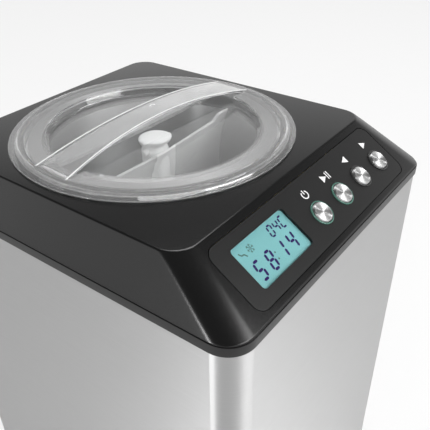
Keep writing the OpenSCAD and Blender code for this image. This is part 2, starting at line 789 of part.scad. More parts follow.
module shaft_seal() color("#222222") at_bowl()
    tube(shaft_r + bush_wall, shaft_r + running_gap, seal_low_z, boss_top_z - 0.5);

module drive_shaft() color("#c8c8c8") at_bowl() {
    rod(shaft_r, shaft_low_z, head_z + 1);
    rotate(30) translate([0, 0, head_z]) cylinder(r = head_r, h = head_h, $fn = 6);
}

module shaft_clip() color("#777777") at_bowl() difference() {
    tube(shaft_r + 3, shaft_r + 0.02, gear_z + gear_t + 0.1, gear_z + gear_t + 1.3);
    translate([0, -2, gear_z]) cube([20, 4, 40]);
}

module drive_gear() color("ivory") at_bowl() difference() {
    union() {
        translate([0, 0, gear_z]) linear_extrude(gear_t) rotate(-90) gear_outline(gear_module, gear_teeth);
        rod(12, bracket_z + bracket_t + 2.4, gear_z + 1);
    }
    rod(shaft_r + 0.02, bracket_z, gear_z + gear_t + 1);
    for (k = [0 : 5]) rotate(k * 60) translate([28, 0, 0]) rod(9, gear_z - 1, gear_z + gear_t + 1);
}

// Right-hand corners of the motor bracket, from the front
bracket_half = [[motor_r + 16, motor_y - motor_r - 2],
    [motor_r + 38, bowl_y + 10],
    [motor_r + 38, bowl_y + 26]];
module motor_bracket() color("#8a8a8a") {
    difference() {
        union() {
            translate([0, 0, bracket_z]) linear_extrude(bracket_t) polygon([for (p = bracket_half)
                each [p, [-p[0], p[1]]]], [[0, 2, 4, 5, 3, 1]]);
            bracket_places() rod(5, bracket_z, shelf_z);
        }
        at_bowl() rod(shaft_r + bush_wall - 0.9, bracket_z - 1, bracket_z + bracket_t + 1);
        translate([0, motor_y, 0]) rod(9.2, bracket_z - 1, bracket_z + bracket_t + 1);
        motor_screw_places() rod(1.7, bracket_z - 1, bracket_z + bracket_t + 1);
        bracket_places() rod(1.7, shelf_z - 12, shelf_z + 1);
    }
}

module motor_screw_places() {
    for (k = [0 : 2]) translate([0, motor_y, 0])
        rotate(k * 120 + 30) translate([motor_r - 6, 0, 0]) children();
}

module drive_motor() color("#555555") translate([0, motor_y, 0]) {
    difference() {
        union() {
            rod(motor_r, bracket_z - motor_h, bracket_z);
            rod(9, bracket_z - 1, bracket_z + bracket_t + 1);
            rod(10, bracket_z - motor_h - 4, bracket_z - motor_h + 1);
        }
        rod(motor_shaft_r + running_gap, bracket_z - 20, bracket_z + 10);
        translate([0, -motor_y, 0]) motor_screw_places() rod(1.5, bracket_z - 9, bracket_z + 1);
    }
}

module motor_pinion() color("#c8b070") translate([0, motor_y, 0]) {
    rod(motor_shaft_r, bracket_z - 18, gear_z + 1);
    translate([0, 0, gear_z]) linear_extrude(gear_t)
        rotate(90 + 180 / pinion_teeth) gear_outline(gear_module, pinion_teeth);
}

module motor_screws() color("silver") {
    motor_screw_places() translate([0, 0, bracket_z + bracket_t]) screw(1.4, 9, 2.8, 1.6);
    bracket_places() translate([0, 0, shelf_z + shelf_t]) screw(1.5, 11, 3, 1.6);
}

// ---------- cooling system ----------

module compressor_feet() {
    for (k = [0 : 3]) translate([comp_x, comp_y, 0])
        rotate(45 + 90 * k) translate([compressor_r + 4, 0, 0]) children();
}

module compressor() color("#1c1c1c") difference() {
    union() {
        translate([comp_x, comp_y, comp_z + leg_t]) rotate_extrude($fn = fine)
            polygon(concat([[0, 0]],
                arc(compressor_r - shell_low_r, shell_low_r, shell_low_r, -90, 0),
                [[compressor_r, compressor_h * 0.45],
                [compressor_r + weld_t, compressor_h * 0.45],
                [compressor_r + weld_t, compressor_h * 0.5],
                [compressor_r, compressor_h * 0.5]],
                arc(compressor_r - shell_top_r, compressor_h - shell_top_r, shell_top_r, 0, 90),
                [[0, compressor_h]]));
        translate([comp_x, comp_y, comp_z]) for (a = [45, 135]) rotate(a)
            translate([-compressor_r - leg_out, -leg_w / 2, 0])
                cube([2 * (compressor_r + leg_out), leg_w, leg_t + 0.2]);
    }
    compressor_feet() rod(4.2, comp_z - 1, comp_z + 5);
}

terminal_w = 36;
terminal_h = 44;
terminal_out = 20;
module terminal_cover() color("#2b2b2b")
    translate([comp_x, comp_y, 0]) difference() {
        translate([-terminal_w / 2, -compressor_r - terminal_out, comp_z + 30])
            cube([terminal_w, terminal_out + 6, terminal_h]);
        rod(compressor_r + weld_t + fit, comp_z, comp_top);
    }

module compressor_mounts() color("#262626") compressor_feet() difference() {
    union() {
        rod(8, base_top, comp_z);
        rod(4, comp_z - 1, comp_z + leg_t);
        rod(7, comp_z + leg_t + 0.2, comp_z + 2 * leg_t);
        rod(4, comp_z + leg_t - 0.1, comp_z + leg_t + 1);
    }
    rod(2.7, base_top - 1, comp_z + 7);
}

module compressor_bolts() color("silver") compressor_feet() {
    rod(2.5, base_z + 1, comp_z + 2 * leg_t);
    translate([0, 0, comp_z + 2 * leg_t]) cylinder(r = 5, h = 4, $fn = 6);
}

module condenser() color("#9a9aa0") translate([cond_x, cond_y, cond_z]) {
    fins = 17;
    fin_t = 1.2;
    plate = 1.5; // end plates
    gap = (cond_w - 8) / fins;
    for (i = [0 : fins]) translate([-cond_w / 2 + 3 + i * gap, -cond_d / 2, 6])
        cube([fin_t, cond_d, cond_h - 10]);
    for (x = [-cond_w / 2, cond_w / 2 - plate]) translate([x, -cond_d / 2 - 2, 0])
        cube([plate, cond_d + 4, cond_h]);
    for (z = cond_rows, y = [-cond_row_y, cond_row_y]) translate([-cond_w / 2, y, z])
        rotate([0, 90, 0]) cylinder(r = 3.5, h = cond_w, $fn = fine);
}

module fan_frame() color("#303030") translate([cond_x, fan_y, fan_z]) difference() {
    translate([-shroud / 2, -shroud_t / 2, base_top - fan_z])
        cube([shroud, shroud_t, fan_z - base_top + shroud / 2]);
    rotate([90, 0, 0]) {
        rod(fan_r + 2, fan_wall - shroud_t / 2, shroud_t);
        rod(fan_pin_r + running_gap, -shroud_t, shroud_t);
        // four openings beside the hub's spider
        for (k = [0 : 3]) rotate(k * 90) translate([0, 0, -shroud_t]) linear_extrude(2 * shroud_t)
            polygon(concat(arc(0, 0, fan_hub_r + 4, 8, 82, 6), arc(0, 0, fan_r, 82, 8, 8)));
    }
}

module fan_rotor() color("#202020") translate([cond_x, fan_y, fan_z]) rotate([90, 0, 0]) {
    hub_z0 = fan_wall + free - shroud_t / 2;
    blade_w = 18;
    blade_t = 1.6;
    rod(fan_pin_r, hub_z0 - 3, hub_z0 + 1);
    rod(fan_hub_r, hub_z0, shroud_t / 2 + 2);
    for (k = [0 : fan_blades - 1]) rotate(k * 360 / fan_blades)
        translate([fan_hub_r - 4, 0, hub_z0 + 6]) rotate([32, 0, 0])
            translate([0, -blade_w / 2, -blade_t / 2]) cube([fan_r - fan_hub_r + 3, blade_w, blade_t]);
}

module fan_screws() color("silver") for (sx = [-1, 1], sz = [-1, 1])
    translate([cond_x + sx * (shroud / 2 - 6), fan_y - shroud_t / 2, fan_z + sz * (shroud / 2 - 6)])
        rotate([90, 0, 0]) rod(3, 0, 1.6);

module filter_drier() color("#b87333") translate([drier_x, drier_y, drier_z]) rotate_extrude($fn = fine)
    polygon([[0, 0], [3, 0], [3, 8], [8, 14], [8, 60], [3, 66], [3, 74], [0, 74]]);

module capillary_tube() color("#b87333") sweep(route([
    coil_point(coil_start + end_angle(capillary_r), coil_top_z),
    pipe_point(capillary_angle, pipe_out_r, coil_top_z),
    pipe_point(capillary_angle, pipe_out_r, shelf_z - 8),
    [drier_x, drier_y, shelf_z - 8],
    [drier_x, drier_y, drier_z + 74.2]], 5), capillary_r);

module suction_pipe() color("#b87333") sweep(route([
    coil_point(coil_start - end_angle(suction_r), coil_low_z),
    pipe_point(pipe_angle, pipe_out_r, coil_low_z - 2),
    pipe_point(pipe_angle, pipe_out_r, shelf_z - 12),
    [comp_x + 12, comp_y + 10, shelf_z - 16],
    [comp_x + 12, comp_y + 10, comp_top + fit]], 7), suction_r);

module discharge_pipe() color("#b87333") sweep(route([
    [comp_x + 14, comp_y - 12, comp_top + fit],
    [comp_x + 14, comp_y - 12, comp_top + 13],
    [cond_left_x - 5, cond_y - cond_row_y, comp_top + 13],
    [cond_left_x - 5, cond_y - cond_row_y, cond_z + cond_rows[4]],
    [cond_left_x - 0.3, cond_y - cond_row_y, cond_z + cond_rows[4]]], 4), pipe_r);

module liquid_pipe() color("#b87333") sweep(route([
    [cond_left_x - 0.3, cond_y - cond_row_y, cond_z + cond_rows[0]],
    [drier_x, cond_y - cond_row_y, cond_z + cond_rows[0]],
    [drier_x, drier_y, cond_z + cond_rows[0]],
    [drier_x, drier_y, drier_z - 0.3]], 3), pipe_r);

// ---------- electrics ----------

board_l = 76;
board_w = 60;
board_z = base_top + 10;
hole_x = board_l / 2 - 6;
hole_y = board_w / 2 - 6;
board_x = foot_x - hole_x - 2.5;
board_y = hole_y + 21.5 - foot_y;
module board_places() {
    translate([board_x, board_y, 0]) corner_places(hole_x, hole_y) children();
}

module power_board() color("darkgreen") translate([board_x, board_y, board_z]) {
    difference() {
        block(board_l, board_w, 2, 0, board_t);
        corner_places(hole_x, hole_y) rod(1.6, -1, board_t + 1);
    }
    translate([-30, -14, 1.5]) cube([30, 28, 26]);
    translate([8, 2, 1.5]) cube([18, 16, 15]);
    translate([8, -18, 1.5]) cube([22, 10, 12]);
    translate([18, -4, 1.5]) cylinder(r = 4, h = 18, $fn = fine);
}

module board_standoffs() color("white") board_places() difference() {
    rod(3.5, base_top, board_z);
    rod(1.5, base_top - 1, board_z + 1);
}

module power_inlet() color("#1a1a1a") translate([inlet_x, rear_y + rear_t, inlet_z]) difference() {
    union() {
        translate([-13.7, -20, -9.7]) cube([27.4, 20, 19.4]);
        translate([-17, -rear_t - 2, -13]) cube([34, 2, 26]);
    }
    translate([-11, -16, -7]) cube([22, 20, 14]);
}

module ribbon_cable() color("#cccccc") {
    low = base_top + 10 + 1.6 + 0.1;
    translate([ribbon_x, ribbon_y, low]) cube([ribbon_w, ribbon_t, ribbon_top - low]);
    translate([ribbon_x, ribbon_y, low]) cube([ribbon_w, board_y - 22 - ribbon_y, ribbon_t]);
}

steel_casing();
top_cover();
control_plate();
display_window();
lcd_panel();
lcd_frame();
control_board();
tact_switches();
light_rings();
trim_rings();
power_button();
start_button();
left_button();
right_button();
lid();
lid_seal();
bowl();
paddle();
chamber_gasket();
chamber_cup();
evaporator_coil();
insulation();
temperature_probe();
shelf_plate();
cover_posts();
cover_screws();
upper_bush();
lower_bush();
shaft_seal();
drive_shaft();
shaft_clip();
drive_gear();
motor_bracket();
drive_motor();
motor_pinion();
motor_screws();
compressor();
terminal_cover();
compressor_mounts();
compressor_bolts();
condenser();
fan_frame();
fan_rotor();
fan_screws();
filter_drier();
capillary_tube();
suction_pipe();
discharge_pipe();
liquid_pipe();
power_board();
board_standoffs();
power_inlet();
rear_cover();
rear_screws();
base_plate();
feet();
base_screws();
ribbon_cable();
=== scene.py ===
import math

import bmesh
import bpy
import numpy as np
from mathutils import Matrix, Vector


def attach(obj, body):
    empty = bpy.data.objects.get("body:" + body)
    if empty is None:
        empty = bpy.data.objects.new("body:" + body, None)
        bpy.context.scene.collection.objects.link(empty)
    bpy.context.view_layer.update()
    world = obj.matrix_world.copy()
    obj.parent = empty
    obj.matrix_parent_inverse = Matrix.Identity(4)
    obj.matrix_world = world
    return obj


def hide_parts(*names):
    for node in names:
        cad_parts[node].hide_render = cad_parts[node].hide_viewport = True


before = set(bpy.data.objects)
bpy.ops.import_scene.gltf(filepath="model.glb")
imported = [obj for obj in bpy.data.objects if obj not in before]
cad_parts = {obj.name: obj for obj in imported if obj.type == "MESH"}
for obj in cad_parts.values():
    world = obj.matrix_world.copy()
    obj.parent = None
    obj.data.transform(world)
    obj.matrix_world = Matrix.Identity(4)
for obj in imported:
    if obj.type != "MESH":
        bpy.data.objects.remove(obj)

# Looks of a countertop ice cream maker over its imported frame.
# Lengths are millimetres in the row frame and become metres in make(); lamps are in metres.
MM = 0.001
SAME_POINT = 1e-4  # profile points closer than this are one point
ON_AXIS = 1e-6
scene = bpy.context.scene
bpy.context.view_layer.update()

# ---------- sizes, as in the part's source ----------

TOP_Z = 340.0
SLOPE_H, SKIRT_H = 29.0, 7.0
HALF_W, HALF_D = 120.5, 139.5
FRONT_RUN, SIDE_RUN, BACK_RUN = 45.0, 14.5, 17.0
TOP_R, SKIRT_R = 15.0, 17.0
COVER_WALL = 3.2
SLOPE_TOP_Y = -HALF_D + FRONT_RUN
SLOPE = math.atan2(SLOPE_H, FRONT_RUN)
BOWL_Y = 15.0
OPENING_R = 92.0
BOWL_R, BOWL_WALL, BOWL_DEPTH = 76.0, 1.5, 118.0
FLOOR_Z = TOP_Z - BOWL_DEPTH
LID_WALL, LID_R, LID_LIFT = 2.0, 99.3, 0.3
RIM_Z = TOP_Z + 4.2
CROWN_Z = TOP_Z + 15.7
HANDLE_HALF, HANDLE_W, HANDLE_END_W = 90.0, 22.0, 30.0
HANDLE_TURN = math.radians(-2.7)
SKIRT_OUT = OPENING_R - 1.0
SKIRT_IN = SKIRT_OUT - LID_WALL
LID_UNDER_Z = TOP_Z - 3.5
RIB_R = 0.5
LUG_TOP_Z = TOP_Z - COVER_WALL - 0.4
LUG_T, LUG_LEN, LUG_HALF, NOTCH_HALF = 2.0, 3.5, math.radians(5), math.radians(8)
LUG_TURNS = [math.radians(60 + 120 * k) for k in range(3)]
NECK_Z = TOP_Z - 11
FOAM_SKIN_Z = TOP_Z - 17
HUB_CLEAR_R = 14.5
PLATE_W, PLATE_L, PLATE_V, PLATE_R, PLATE_T = 184.0, 42.7, 26.95, 7.0, 2.0
WINDOW_X, WINDOW_V, WINDOW_W, WINDOW_L = -53.0, 26.9, 51.7, 27.2
PANE_LOW, PANE_TOP = -1.75, -0.9
LCD_MARK_Z = (-1.99, -1.93)
ICON_Z = (0.002, 0.05)
BUTTON_X, BUTTON_PITCH, BUTTON_V, BUTTON_R, RING_R = -4.4, 26.8, 31.5, 6.6, 8.2
RING_TOP, CAP_TOP = 0.8, 1.8
BUTTONS = ["power_button", "start_button", "left_button", "right_button"]
ICON_V = 16.7


def shift(x, y, z):
    return Matrix.Translation(Vector((x, y, z)) * MM)


AT_BOWL = shift(0, BOWL_Y, 0)
AT_LID = AT_BOWL @ Matrix.Rotation(HANDLE_TURN, 4, "Z")
ON_SLOPE = shift(0, SLOPE_TOP_Y, TOP_Z) @ Matrix.Rotation(SLOPE, 4, "X")


def button_place(k):
    return ON_SLOPE @ shift(BUTTON_X + k * BUTTON_PITCH, -BUTTON_V, 0)


# ---------- mesh making ----------


def make(name, points, faces, place=None, sharp=32):
    """An object from points in millimetres, smooth but for edges sharper than an angle."""
    mesh = bpy.data.meshes.new(name)
    mesh.from_pydata([Vector(p) * MM for p in points], [], faces)
    mesh.validate()
    obj = bpy.data.objects.new(name, mesh)
    scene.collection.objects.link(obj)
    if place:
        obj.matrix_world = place
    soften(obj, sharp)
    return obj


def soften(obj, sharp=32):
    """Smooth shading with sharp edges kept."""
    obj.data.shade_smooth()
    obj.data.set_sharp_from_angle(angle=math.radians(sharp))


def settle(obj, sharp=32):
    """Turns the object's modifiers into its mesh."""
    bpy.context.view_layer.update()
    graph = bpy.context.evaluated_depsgraph_get()
    mesh = bpy.data.meshes.new_from_object(obj.evaluated_get(graph))
    obj.modifiers.clear()
    obj.data = mesh
    soften(obj, sharp)


def combine(obj, other, operation, sharp=32):
    """Cuts by or joins with another object, which is then removed."""
    step = obj.modifiers.new("cut", "BOOLEAN")
    step.object, step.operation, step.solver = other, operation, "EXACT"
    settle(obj, sharp)
    bpy.data.objects.remove(other)


def without_slivers(obj, least):
    """Closes up the slivers that a cut leaves along edges shorter than this many millimetres."""
    work = bmesh.new()
    work.from_mesh(obj.data)
    bmesh.ops.remove_doubles(work, verts=work.verts, dist=least * MM)
    bmesh.ops.dissolve_degenerate(work, edges=work.edges, dist=least * MM)
    work.to_mesh(obj.data)
    work.free()
    soften(obj)


def weigh(obj):
    """Flat faces keep their own normals beside small rounded edges."""
    obj.modifiers.new("normals", "WEIGHTED_NORMAL").keep_sharp = True


def loft(rings, closed_rings=False):
    """Points and faces over rings of equal length, capped unless the last joins the first."""
    n = len(rings[0])
    points = [p for ring in rings for p in ring]
    count = len(rings) if closed_rings else len(rings) - 1
    faces = []
    for i in range(count):
        a, b = i * n, ((i + 1) % len(rings)) * n
        faces += [(a + k, a + (k + 1) % n, b + (k + 1) % n, b + k) for k in range(n)]
    if not closed_rings:
        faces.append(tuple(range(n))[::-1])
        faces.append(tuple((len(rings) - 1) * n + k for k in range(n)))
    return points, faces


def lathe(name, profile, place=None, sides=160, sharp=32, closed=True):
    """A turned piece: profile of (radius, height) in order, closed into a ring or from axis to axis."""
    turns = [2 * math.pi * k / sides for k in range(sides)]
    profile = [p for i, p in enumerate(profile) if i == 0 or math.dist(p, profile[i - 1]) > SAME_POINT]
    points, index, faces = [], [], []
    for r, z in profile:
        if r < ON_AXIS:
            index.append([len(points)] * sides)
            points.append((0, 0, z))
        else:
            index.append(list(range(len(points), len(points) + sides)))
            points += [(r * math.cos(t), r * math.sin(t), z) for t in turns]
    spans = list(zip(index, index[1:] + index[:1])) if closed else list(zip(index, index[1:]))
    for a, b in spans:
        for k in range(sides):
            j = (k + 1) % sides
            face = [a[k], a[j], b[j], b[k]]
            face = [v for i, v in enumerate(face) if v not in face[:i]]
            if len(face) > 2:
                faces.append(face)
    obj = make(name, points, faces, place, sharp)
    outward(obj)
    soften(obj, sharp)
    return obj


def outward(obj):
    """Turns every face's normal away from the solid."""
    work = bmesh.new()
    work.from_mesh(obj.data)
    bmesh.ops.recalc_face_normals(work, faces=work.faces)
    work.to_mesh(obj.data)
    work.free()


def arc(cx, cz, r, a0, a1, steps=6):
    """Points of an arc in a profile, angles in degrees."""
    turns = np.radians(np.linspace(a0, a1, steps + 1))
    return [(cx + r * math.cos(t), cz + r * math.sin(t)) for t in turns]


def round_rect(w, d, r, x=0, y=0):
    """Outline of a rounded rectangle, anticlockwise."""
    outline = []
    for k, (sx, sy) in enumerate([(1, -1), (1, 1), (-1, 1), (-1, -1)]):
        cx, cy = x + sx * (w / 2 - r), y + sy * (d / 2 - r)
        for t in np.radians(np.linspace(-90 + 90 * k, 90 * k, 11)):
            outline.append((cx + r * math.cos(t), cy + r * math.sin(t)))
    return outline


def at_height(outline, z):
    """An outline's points at one height."""
    return [(x, y, z) for x, y in outline]


def slab(name, outline, z0, z1, place=None):
    """An outline extruded between two heights."""
    return make(name, *loft([at_height(outline, z0), at_height(outline, z1)]), place)


def pillow_slab(name, outline_at, z0, z1, edge):
    """A slab on the slope whose upper edge is rounded; outline_at(inset) gives its outline."""
    steps = 3
    rings = [at_height(outline_at(0), z0)]
    for k in range(steps + 1):
        t = math.radians(90 * k / steps)
        inset = edge * (1 - math.cos(t))
        rings.append(at_height(outline_at(inset), z1 - edge + edge * math.sin(t)))
    obj = make(name, *loft(rings), ON_SLOPE)
    weigh(obj)
    return obj


def rod(name, r, z0, z1, place):
    return lathe(name, [(0, z0), (r, z0), (r, z1), (0, z1)], place, 96)


def cut_on_slope(obj, low, corner, grow, hole_r):
    """Cuts the opening for the window, widened by grow, and the four button holes."""
    high = 3
    outline = round_rect(WINDOW_W + grow, WINDOW_L + grow, corner, x=WINDOW_X, y=-WINDOW_V)
    combine(obj, slab("hole", outline, low, high, ON_SLOPE), "DIFFERENCE")
    for k in range(4):
        combine(obj, rod("hole", hole_r, low, high, button_place(k)), "DIFFERENCE")
    weigh(obj)


# ---------- top cover ----------

SIDE_POINTS, CORNER_POINTS = 44, 14


def cover_ring(inset, rise, z):
    """One ring of the cover: drawn in by inset all round after rising along the slopes."""
    k = rise / SLOPE_H
    w = HALF_W - SIDE_RUN * k - inset
    y0 = -HALF_D + FRONT_RUN * k + inset
    y1 = HALF_D - BACK_RUN * k - inset
    r = SKIRT_R + (TOP_R - SKIRT_R) * k - inset * 0.5
    return ring_points(w, y0, y1, r, [z] * 4)


def ring_points(w, y0, y1, r, heights):
    """Ring with its own height on the front, right, back and left."""
    points = []
    for k, (cx, cy) in enumerate([(w - r, y0 + r), (w - r, y1 - r), (r - w, y1 - r), (r - w, y0 + r)]):
        z0, z1 = heights[k], heights[(k + 1) % 4]
        for i in range(CORNER_POINTS + 1):
            f = i / CORNER_POINTS
            t = math.radians(-90 + 90 * k + 90 * f)
            ease = f * f * (3 - 2 * f)
            points.append((cx + r * math.cos(t), cy + r * math.sin(t), z0 + (z1 - z0) * ease))
        nx, ny = [(w, y1 - r), (r - w, y1), (-w, y0 + r), (w - r, y0)][k]
        px, py, pz = points[-1]
        for i in range(1, SIDE_POINTS):
            f = i / SIDE_POINTS
            points.append((px + (nx - px) * f, py + (ny - py) * f, pz))
    return points


def edge_roll(radius, steps):
    """Rings that round the edge between the slopes and the flat top."""
    rings = []
    for i in range(steps + 1):
        t = i / steps
        a, c = (1 - t) ** 2, t * t
        inset, height = {}, {}
        for side, run in (("front", FRONT_RUN), ("side", SIDE_RUN), ("back", BACK_RUN)):
            length = math.hypot(run, SLOPE_H)
            inset[side] = -a * radius * run / length + c * radius
            height[side] = TOP_Z - a * radius * SLOPE_H / length
        w = HALF_W - SIDE_RUN - inset["side"]
        y0 = -HALF_D + FRONT_RUN + inset["front"]
        y1 = HALF_D - BACK_RUN - inset["back"]
        heights = [height[side] for side in ("front", "side", "back", "side")]
        rings.append(ring_points(w, y0, y1, TOP_R - inset["side"] * 0.5, heights))
    return rings


def circle_like(ring, r, z):
    """Circle round the bowl whose points lie on the same rays as a ring's."""
    turns = [math.atan2(p[1] - BOWL_Y, p[0]) for p in ring]
    return [(r * math.cos(t), BOWL_Y + r * math.sin(t), z) for t in turns]


def sector(name, half, r_in, r_out, z0, z1, turn):
    """Sector of a ring round the bowl's axis."""
    steps = np.linspace(turn - half, turn + half, 9)
    outline = ([(r_out * math.cos(t), r_out * math.sin(t)) for t in steps]
               + [(r_in * math.cos(t), r_in * math.sin(t)) for t in steps[::-1]])
    return slab(name, outline, z0, z1, AT_BOWL)


def top_cover():
    """Moulded cover: flat top, four slopes, a groove and the skirt, as a shell round the opening."""
    low = TOP_Z - SLOPE_H
    base = low - SKIRT_H
    slopes = [(0, rise, low + rise) for rise in (24, 16, 8, 0.9)]
    groove = [(0.1, 0.55, low + 0.5), (0.65, 0.1, low + 0.1), (0.65, 0, low - 0.2), (0.1, 0, low - 0.5)]
    skirt = [(0, 0, low - 0.9), (0, 0, base + 0.8), (0.25, 0, base + 0.25), (0.9, 0, base)]
    inside = [(COVER_WALL, 0, base), (COVER_WALL, 0, low - 1),
              (COVER_WALL + 1.2, SLOPE_H - COVER_WALL - 1, TOP_Z - COVER_WALL)]
    mouth = [(0, TOP_Z - COVER_WALL), (0, TOP_Z - 0.7), (0.2, TOP_Z - 0.2), (0.7, TOP_Z)]
    rings = edge_roll(1.1, 5)[::-1] + [cover_ring(*ring) for ring in slopes + groove + skirt + inside]
    rings = [circle_like(rings[0], OPENING_R + wider, z) for wider, z in mouth] + rings
    obj = make("cover_shell", *loft(rings, closed_rings=True))
    outward(obj)
    for turn in LUG_TURNS:
        notch = sector("notch", NOTCH_HALF, OPENING_R - 4, OPENING_R + 4, TOP_Z - 9, TOP_Z + 1, turn)
        combine(obj, notch, "DIFFERENCE")
    around_plate = round_rect(PLATE_W + 0.8, PLATE_L + 0.8, PLATE_R + 0.3, y=-PLATE_V)
    combine(obj, slab("recess", around_plate, -PLATE_T, 6, ON_SLOPE), "DIFFERENCE")
    cut_on_slope(obj, -9, 3, 3.4, BUTTON_R + 0.35)
    return obj


# ---------- control panel ----------


def control_plate():
    """Plate let into the front slope, pierced for the window and the buttons."""
    def outline_at(inset):
        return round_rect(PLATE_W - 2 * inset, PLATE_L - 2 * inset, PLATE_R - inset, y=-PLATE_V)
    obj = pillow_slab("panel_plate", outline_at, -PLATE_T + 0.02, 0, 0.3)
    obj.modifiers.clear()
    cut_on_slope(obj, -4, 2.5, 0, RING_R + 0.12)
    return obj


def button_cap(k):
    """Spun metal cap with a turned chamfer, a dished face and its guide below."""
    r = BUTTON_R
    profile = [(0, -8.3), (2.5, -8.3), (2.5, -5.2), (r + 1.6, -5.2), (r + 1.6, -3.6), (r, -3.6)]
    edge = [(0, 0.55), (0.12, 0.25), (0.4, 0.05), (0.75, 0), (1.0, 0.08), (1.2, 0.22)]
    profile += [(r - inward, CAP_TOP - down) for inward, down in edge]
    turns, dish, ridge = 14, 0.3, 0.02
    for i in range(turns):
        f = 1 - (i + 0.5) / turns
        profile.append(((r - 1.35) * f, CAP_TOP - dish + ridge * (i % 2)))
    profile.append((0, CAP_TOP - dish))
    return lathe(BUTTONS[k] + "_cap", profile, button_place(k), 96, 40)


def button_ring(k):
    """Ring round a button, with a softly rounded top."""
    r0, r1 = BUTTON_R + 0.3, RING_R
    profile = [(r0, -PLATE_T), (r1, -PLATE_T)] + arc(r1 - 0.45, RING_TOP - 0.45, 0.45, 0, 90, 5)
    profile += arc(r0 + 0.4, RING_TOP - 0.4, 0.4, 90, 180, 5)
    return lathe("button_ring_%d" % k, profile, button_place(k), 96, 40)


# ---------- marks on the display and the plate ----------

SEGMENTS = {"0": "abcdef", "1": "bc", "4": "bcfg", "5": "acdfg", "8": "abcdefg", "C": "adef"}


def stroke(a, b, width):
    """Bar from a to b with pointed ends, as an outline."""
    a, b = Vector(a), Vector(b)
    along = (b - a).normalized()
    side = Vector((-along.y, along.x)) * width / 2
    tip = along * width * 0.5
    return [a, a + tip - side, b - tip - side, b, b - tip + side, a + tip + side]


def digit(mark, x, y, w, h, width, slant):
    """Outlines of a seven-segment digit from its lower left corner."""
    def at(u, v):
        return (x + u * w + slant * v * h, y + v * h)
    ends = {"a": ((0, 1), (1, 1)), "b": ((1, 1), (1, 0.5)), "c": ((1, 0.5), (1, 0)),
            "d": ((0, 0), (1, 0)), "e": ((0, 0), (0, 0.5)), "f": ((0, 0.5), (0, 1)),
            "g": ((0, 0.5), (1, 0.5))}
    outlines = []
    for key in SEGMENTS[mark]:
        a, b = Vector(at(*ends[key][0])), Vector(at(*ends[key][1]))
        gap = (b - a).normalized() * width * 0.22
        outlines.append(stroke(a + gap, b - gap, width))
    return outlines


def on_circle(x, y, r, turns):
    """Points of a circle at the given angles in radians."""
    return [(x + r * math.cos(t), y + r * math.sin(t)) for t in turns]


def disc_outline(x, y, r):
    return on_circle(x, y, r, np.linspace(0, 2 * math.pi, 25)[:-1])


def band_outline(points, width):
    """A line of a given width along points, as an outline."""
    path = [Vector(p) for p in points]
    left, right = [], []
    for i, p in enumerate(path):
        along = (path[min(i + 1, len(path) - 1)] - path[max(i - 1, 0)]).normalized()
        side = Vector((-along.y, along.x)) * width / 2
        left.append(p + side)
        right.append(p - side)
    return left + right[::-1]


def flat_marks(name, outlines, z, x=0.0, y=0.0, place=ON_SLOPE):
    """Thin printed marks from outlines, on the slope unless placed elsewhere."""
    points, faces = [], []
    for outline in outlines:
        moved = [(p[0] + x, p[1] + y) for p in outline]
        more, walls = loft([at_height(moved, z[0]), at_height(moved, z[1])])
        base = len(points)
        points += more
        faces += [tuple(base + v for v in face) for face in walls]
    obj = make(name, points, faces, place)
    outward(obj)
    soften(obj, 20)
    return obj


def lcd_digits():
    """Two rows of digits, placed from the middle of the window."""
    outlines = []
    for row, x, pitch, y, w, h, width, slant in (("5814", -20.3, 10.9, -9.9, 4.7, 10.6, 1.6, 0.2),
                                                 ("04C", 6.4, 5.75, 4.1, 3.4, 6.7, 1.1, 0.19)):
        for k, mark in enumerate(row):
            outlines += digit(mark, x + pitch * k, y, w, h, width, slant)
    return flat_marks("lcd_digits", outlines, LCD_MARK_Z, WINDOW_X, -WINDOW_V)


def lcd_signs():
    """Colon, snowflake and wave, fainter than the digits."""
    outlines = [disc_outline(-0.4, -2.7, 0.55), disc_outline(-1.3, -6.7, 0.55)]
    middle, r, first_ray, branch_turn = Vector((-11.7, 7.8)), 2.9, 10, 52

    def ray(degrees):
        return Vector((math.cos(math.radians(degrees)), math.sin(math.radians(degrees))))
    for k in range(6):
        heading = 60 * k + first_ray
        outlines.append(stroke(middle + ray(heading) * 0.25, middle + ray(heading) * r, 0.42))
        start = middle + ray(heading) * r * 0.6
        for turn in (-branch_turn, branch_turn):
            outlines.append(stroke(start, start + ray(heading + turn) * 1.1, 0.32))
    wave = [(-21.1 + 4.2 * f, 9.6 - 4.3 * f - 0.75 * math.sin(2 * math.pi * f))
            for f in np.linspace(0, 1, 17)]
    outlines.append(band_outline(wave, 0.8))
    return flat_marks("lcd_signs", outlines, LCD_MARK_Z, WINDOW_X, -WINDOW_V)


def plate_icons():
    """Generic arrows, start and pause, and power signs above the buttons."""
    outlines = [[(74.2, -13.8), (74.2, -19.2), (79.8, -16.5)],
                [(51.0, -13.9), (45.3, -16.6), (51.0, -19.2)],
                [(17.4, -13.9), (17.4, -19.2), (22.6, -16.55)]]
    outlines += [band_outline([(x, -13.9), (x, -19.2)], 0.85) for x in (23.9, 25.9)]
    cx, cy = BUTTON_X + 0.3, -ICON_V
    ring = on_circle(cx, cy, 2.65, np.radians(np.linspace(128, 412, 49)))
    outlines += [band_outline(line, 0.8) for line in (ring, [(cx, cy + 0.2), (cx, cy + 3.3)])]
    return flat_marks("plate_icons", outlines, ICON_Z)


def window_pane():
    """Clear window with softened edges, just over the display."""
    def outline_at(inset):
        return round_rect(WINDOW_W - 0.4 - 2 * inset, WINDOW_L - 0.4 - 2 * inset, 2.3 - inset,
                          x=WINDOW_X, y=-WINDOW_V)
    return pillow_slab("window_pane", outline_at, PANE_LOW, PANE_TOP, 0.2)


# ---------- lid ----------


def strip_half(x):
    """Half the handle strip's width along it."""
    return (HANDLE_W + (HANDLE_END_W - HANDLE_W) * (x / HANDLE_HALF) ** 2) / 2


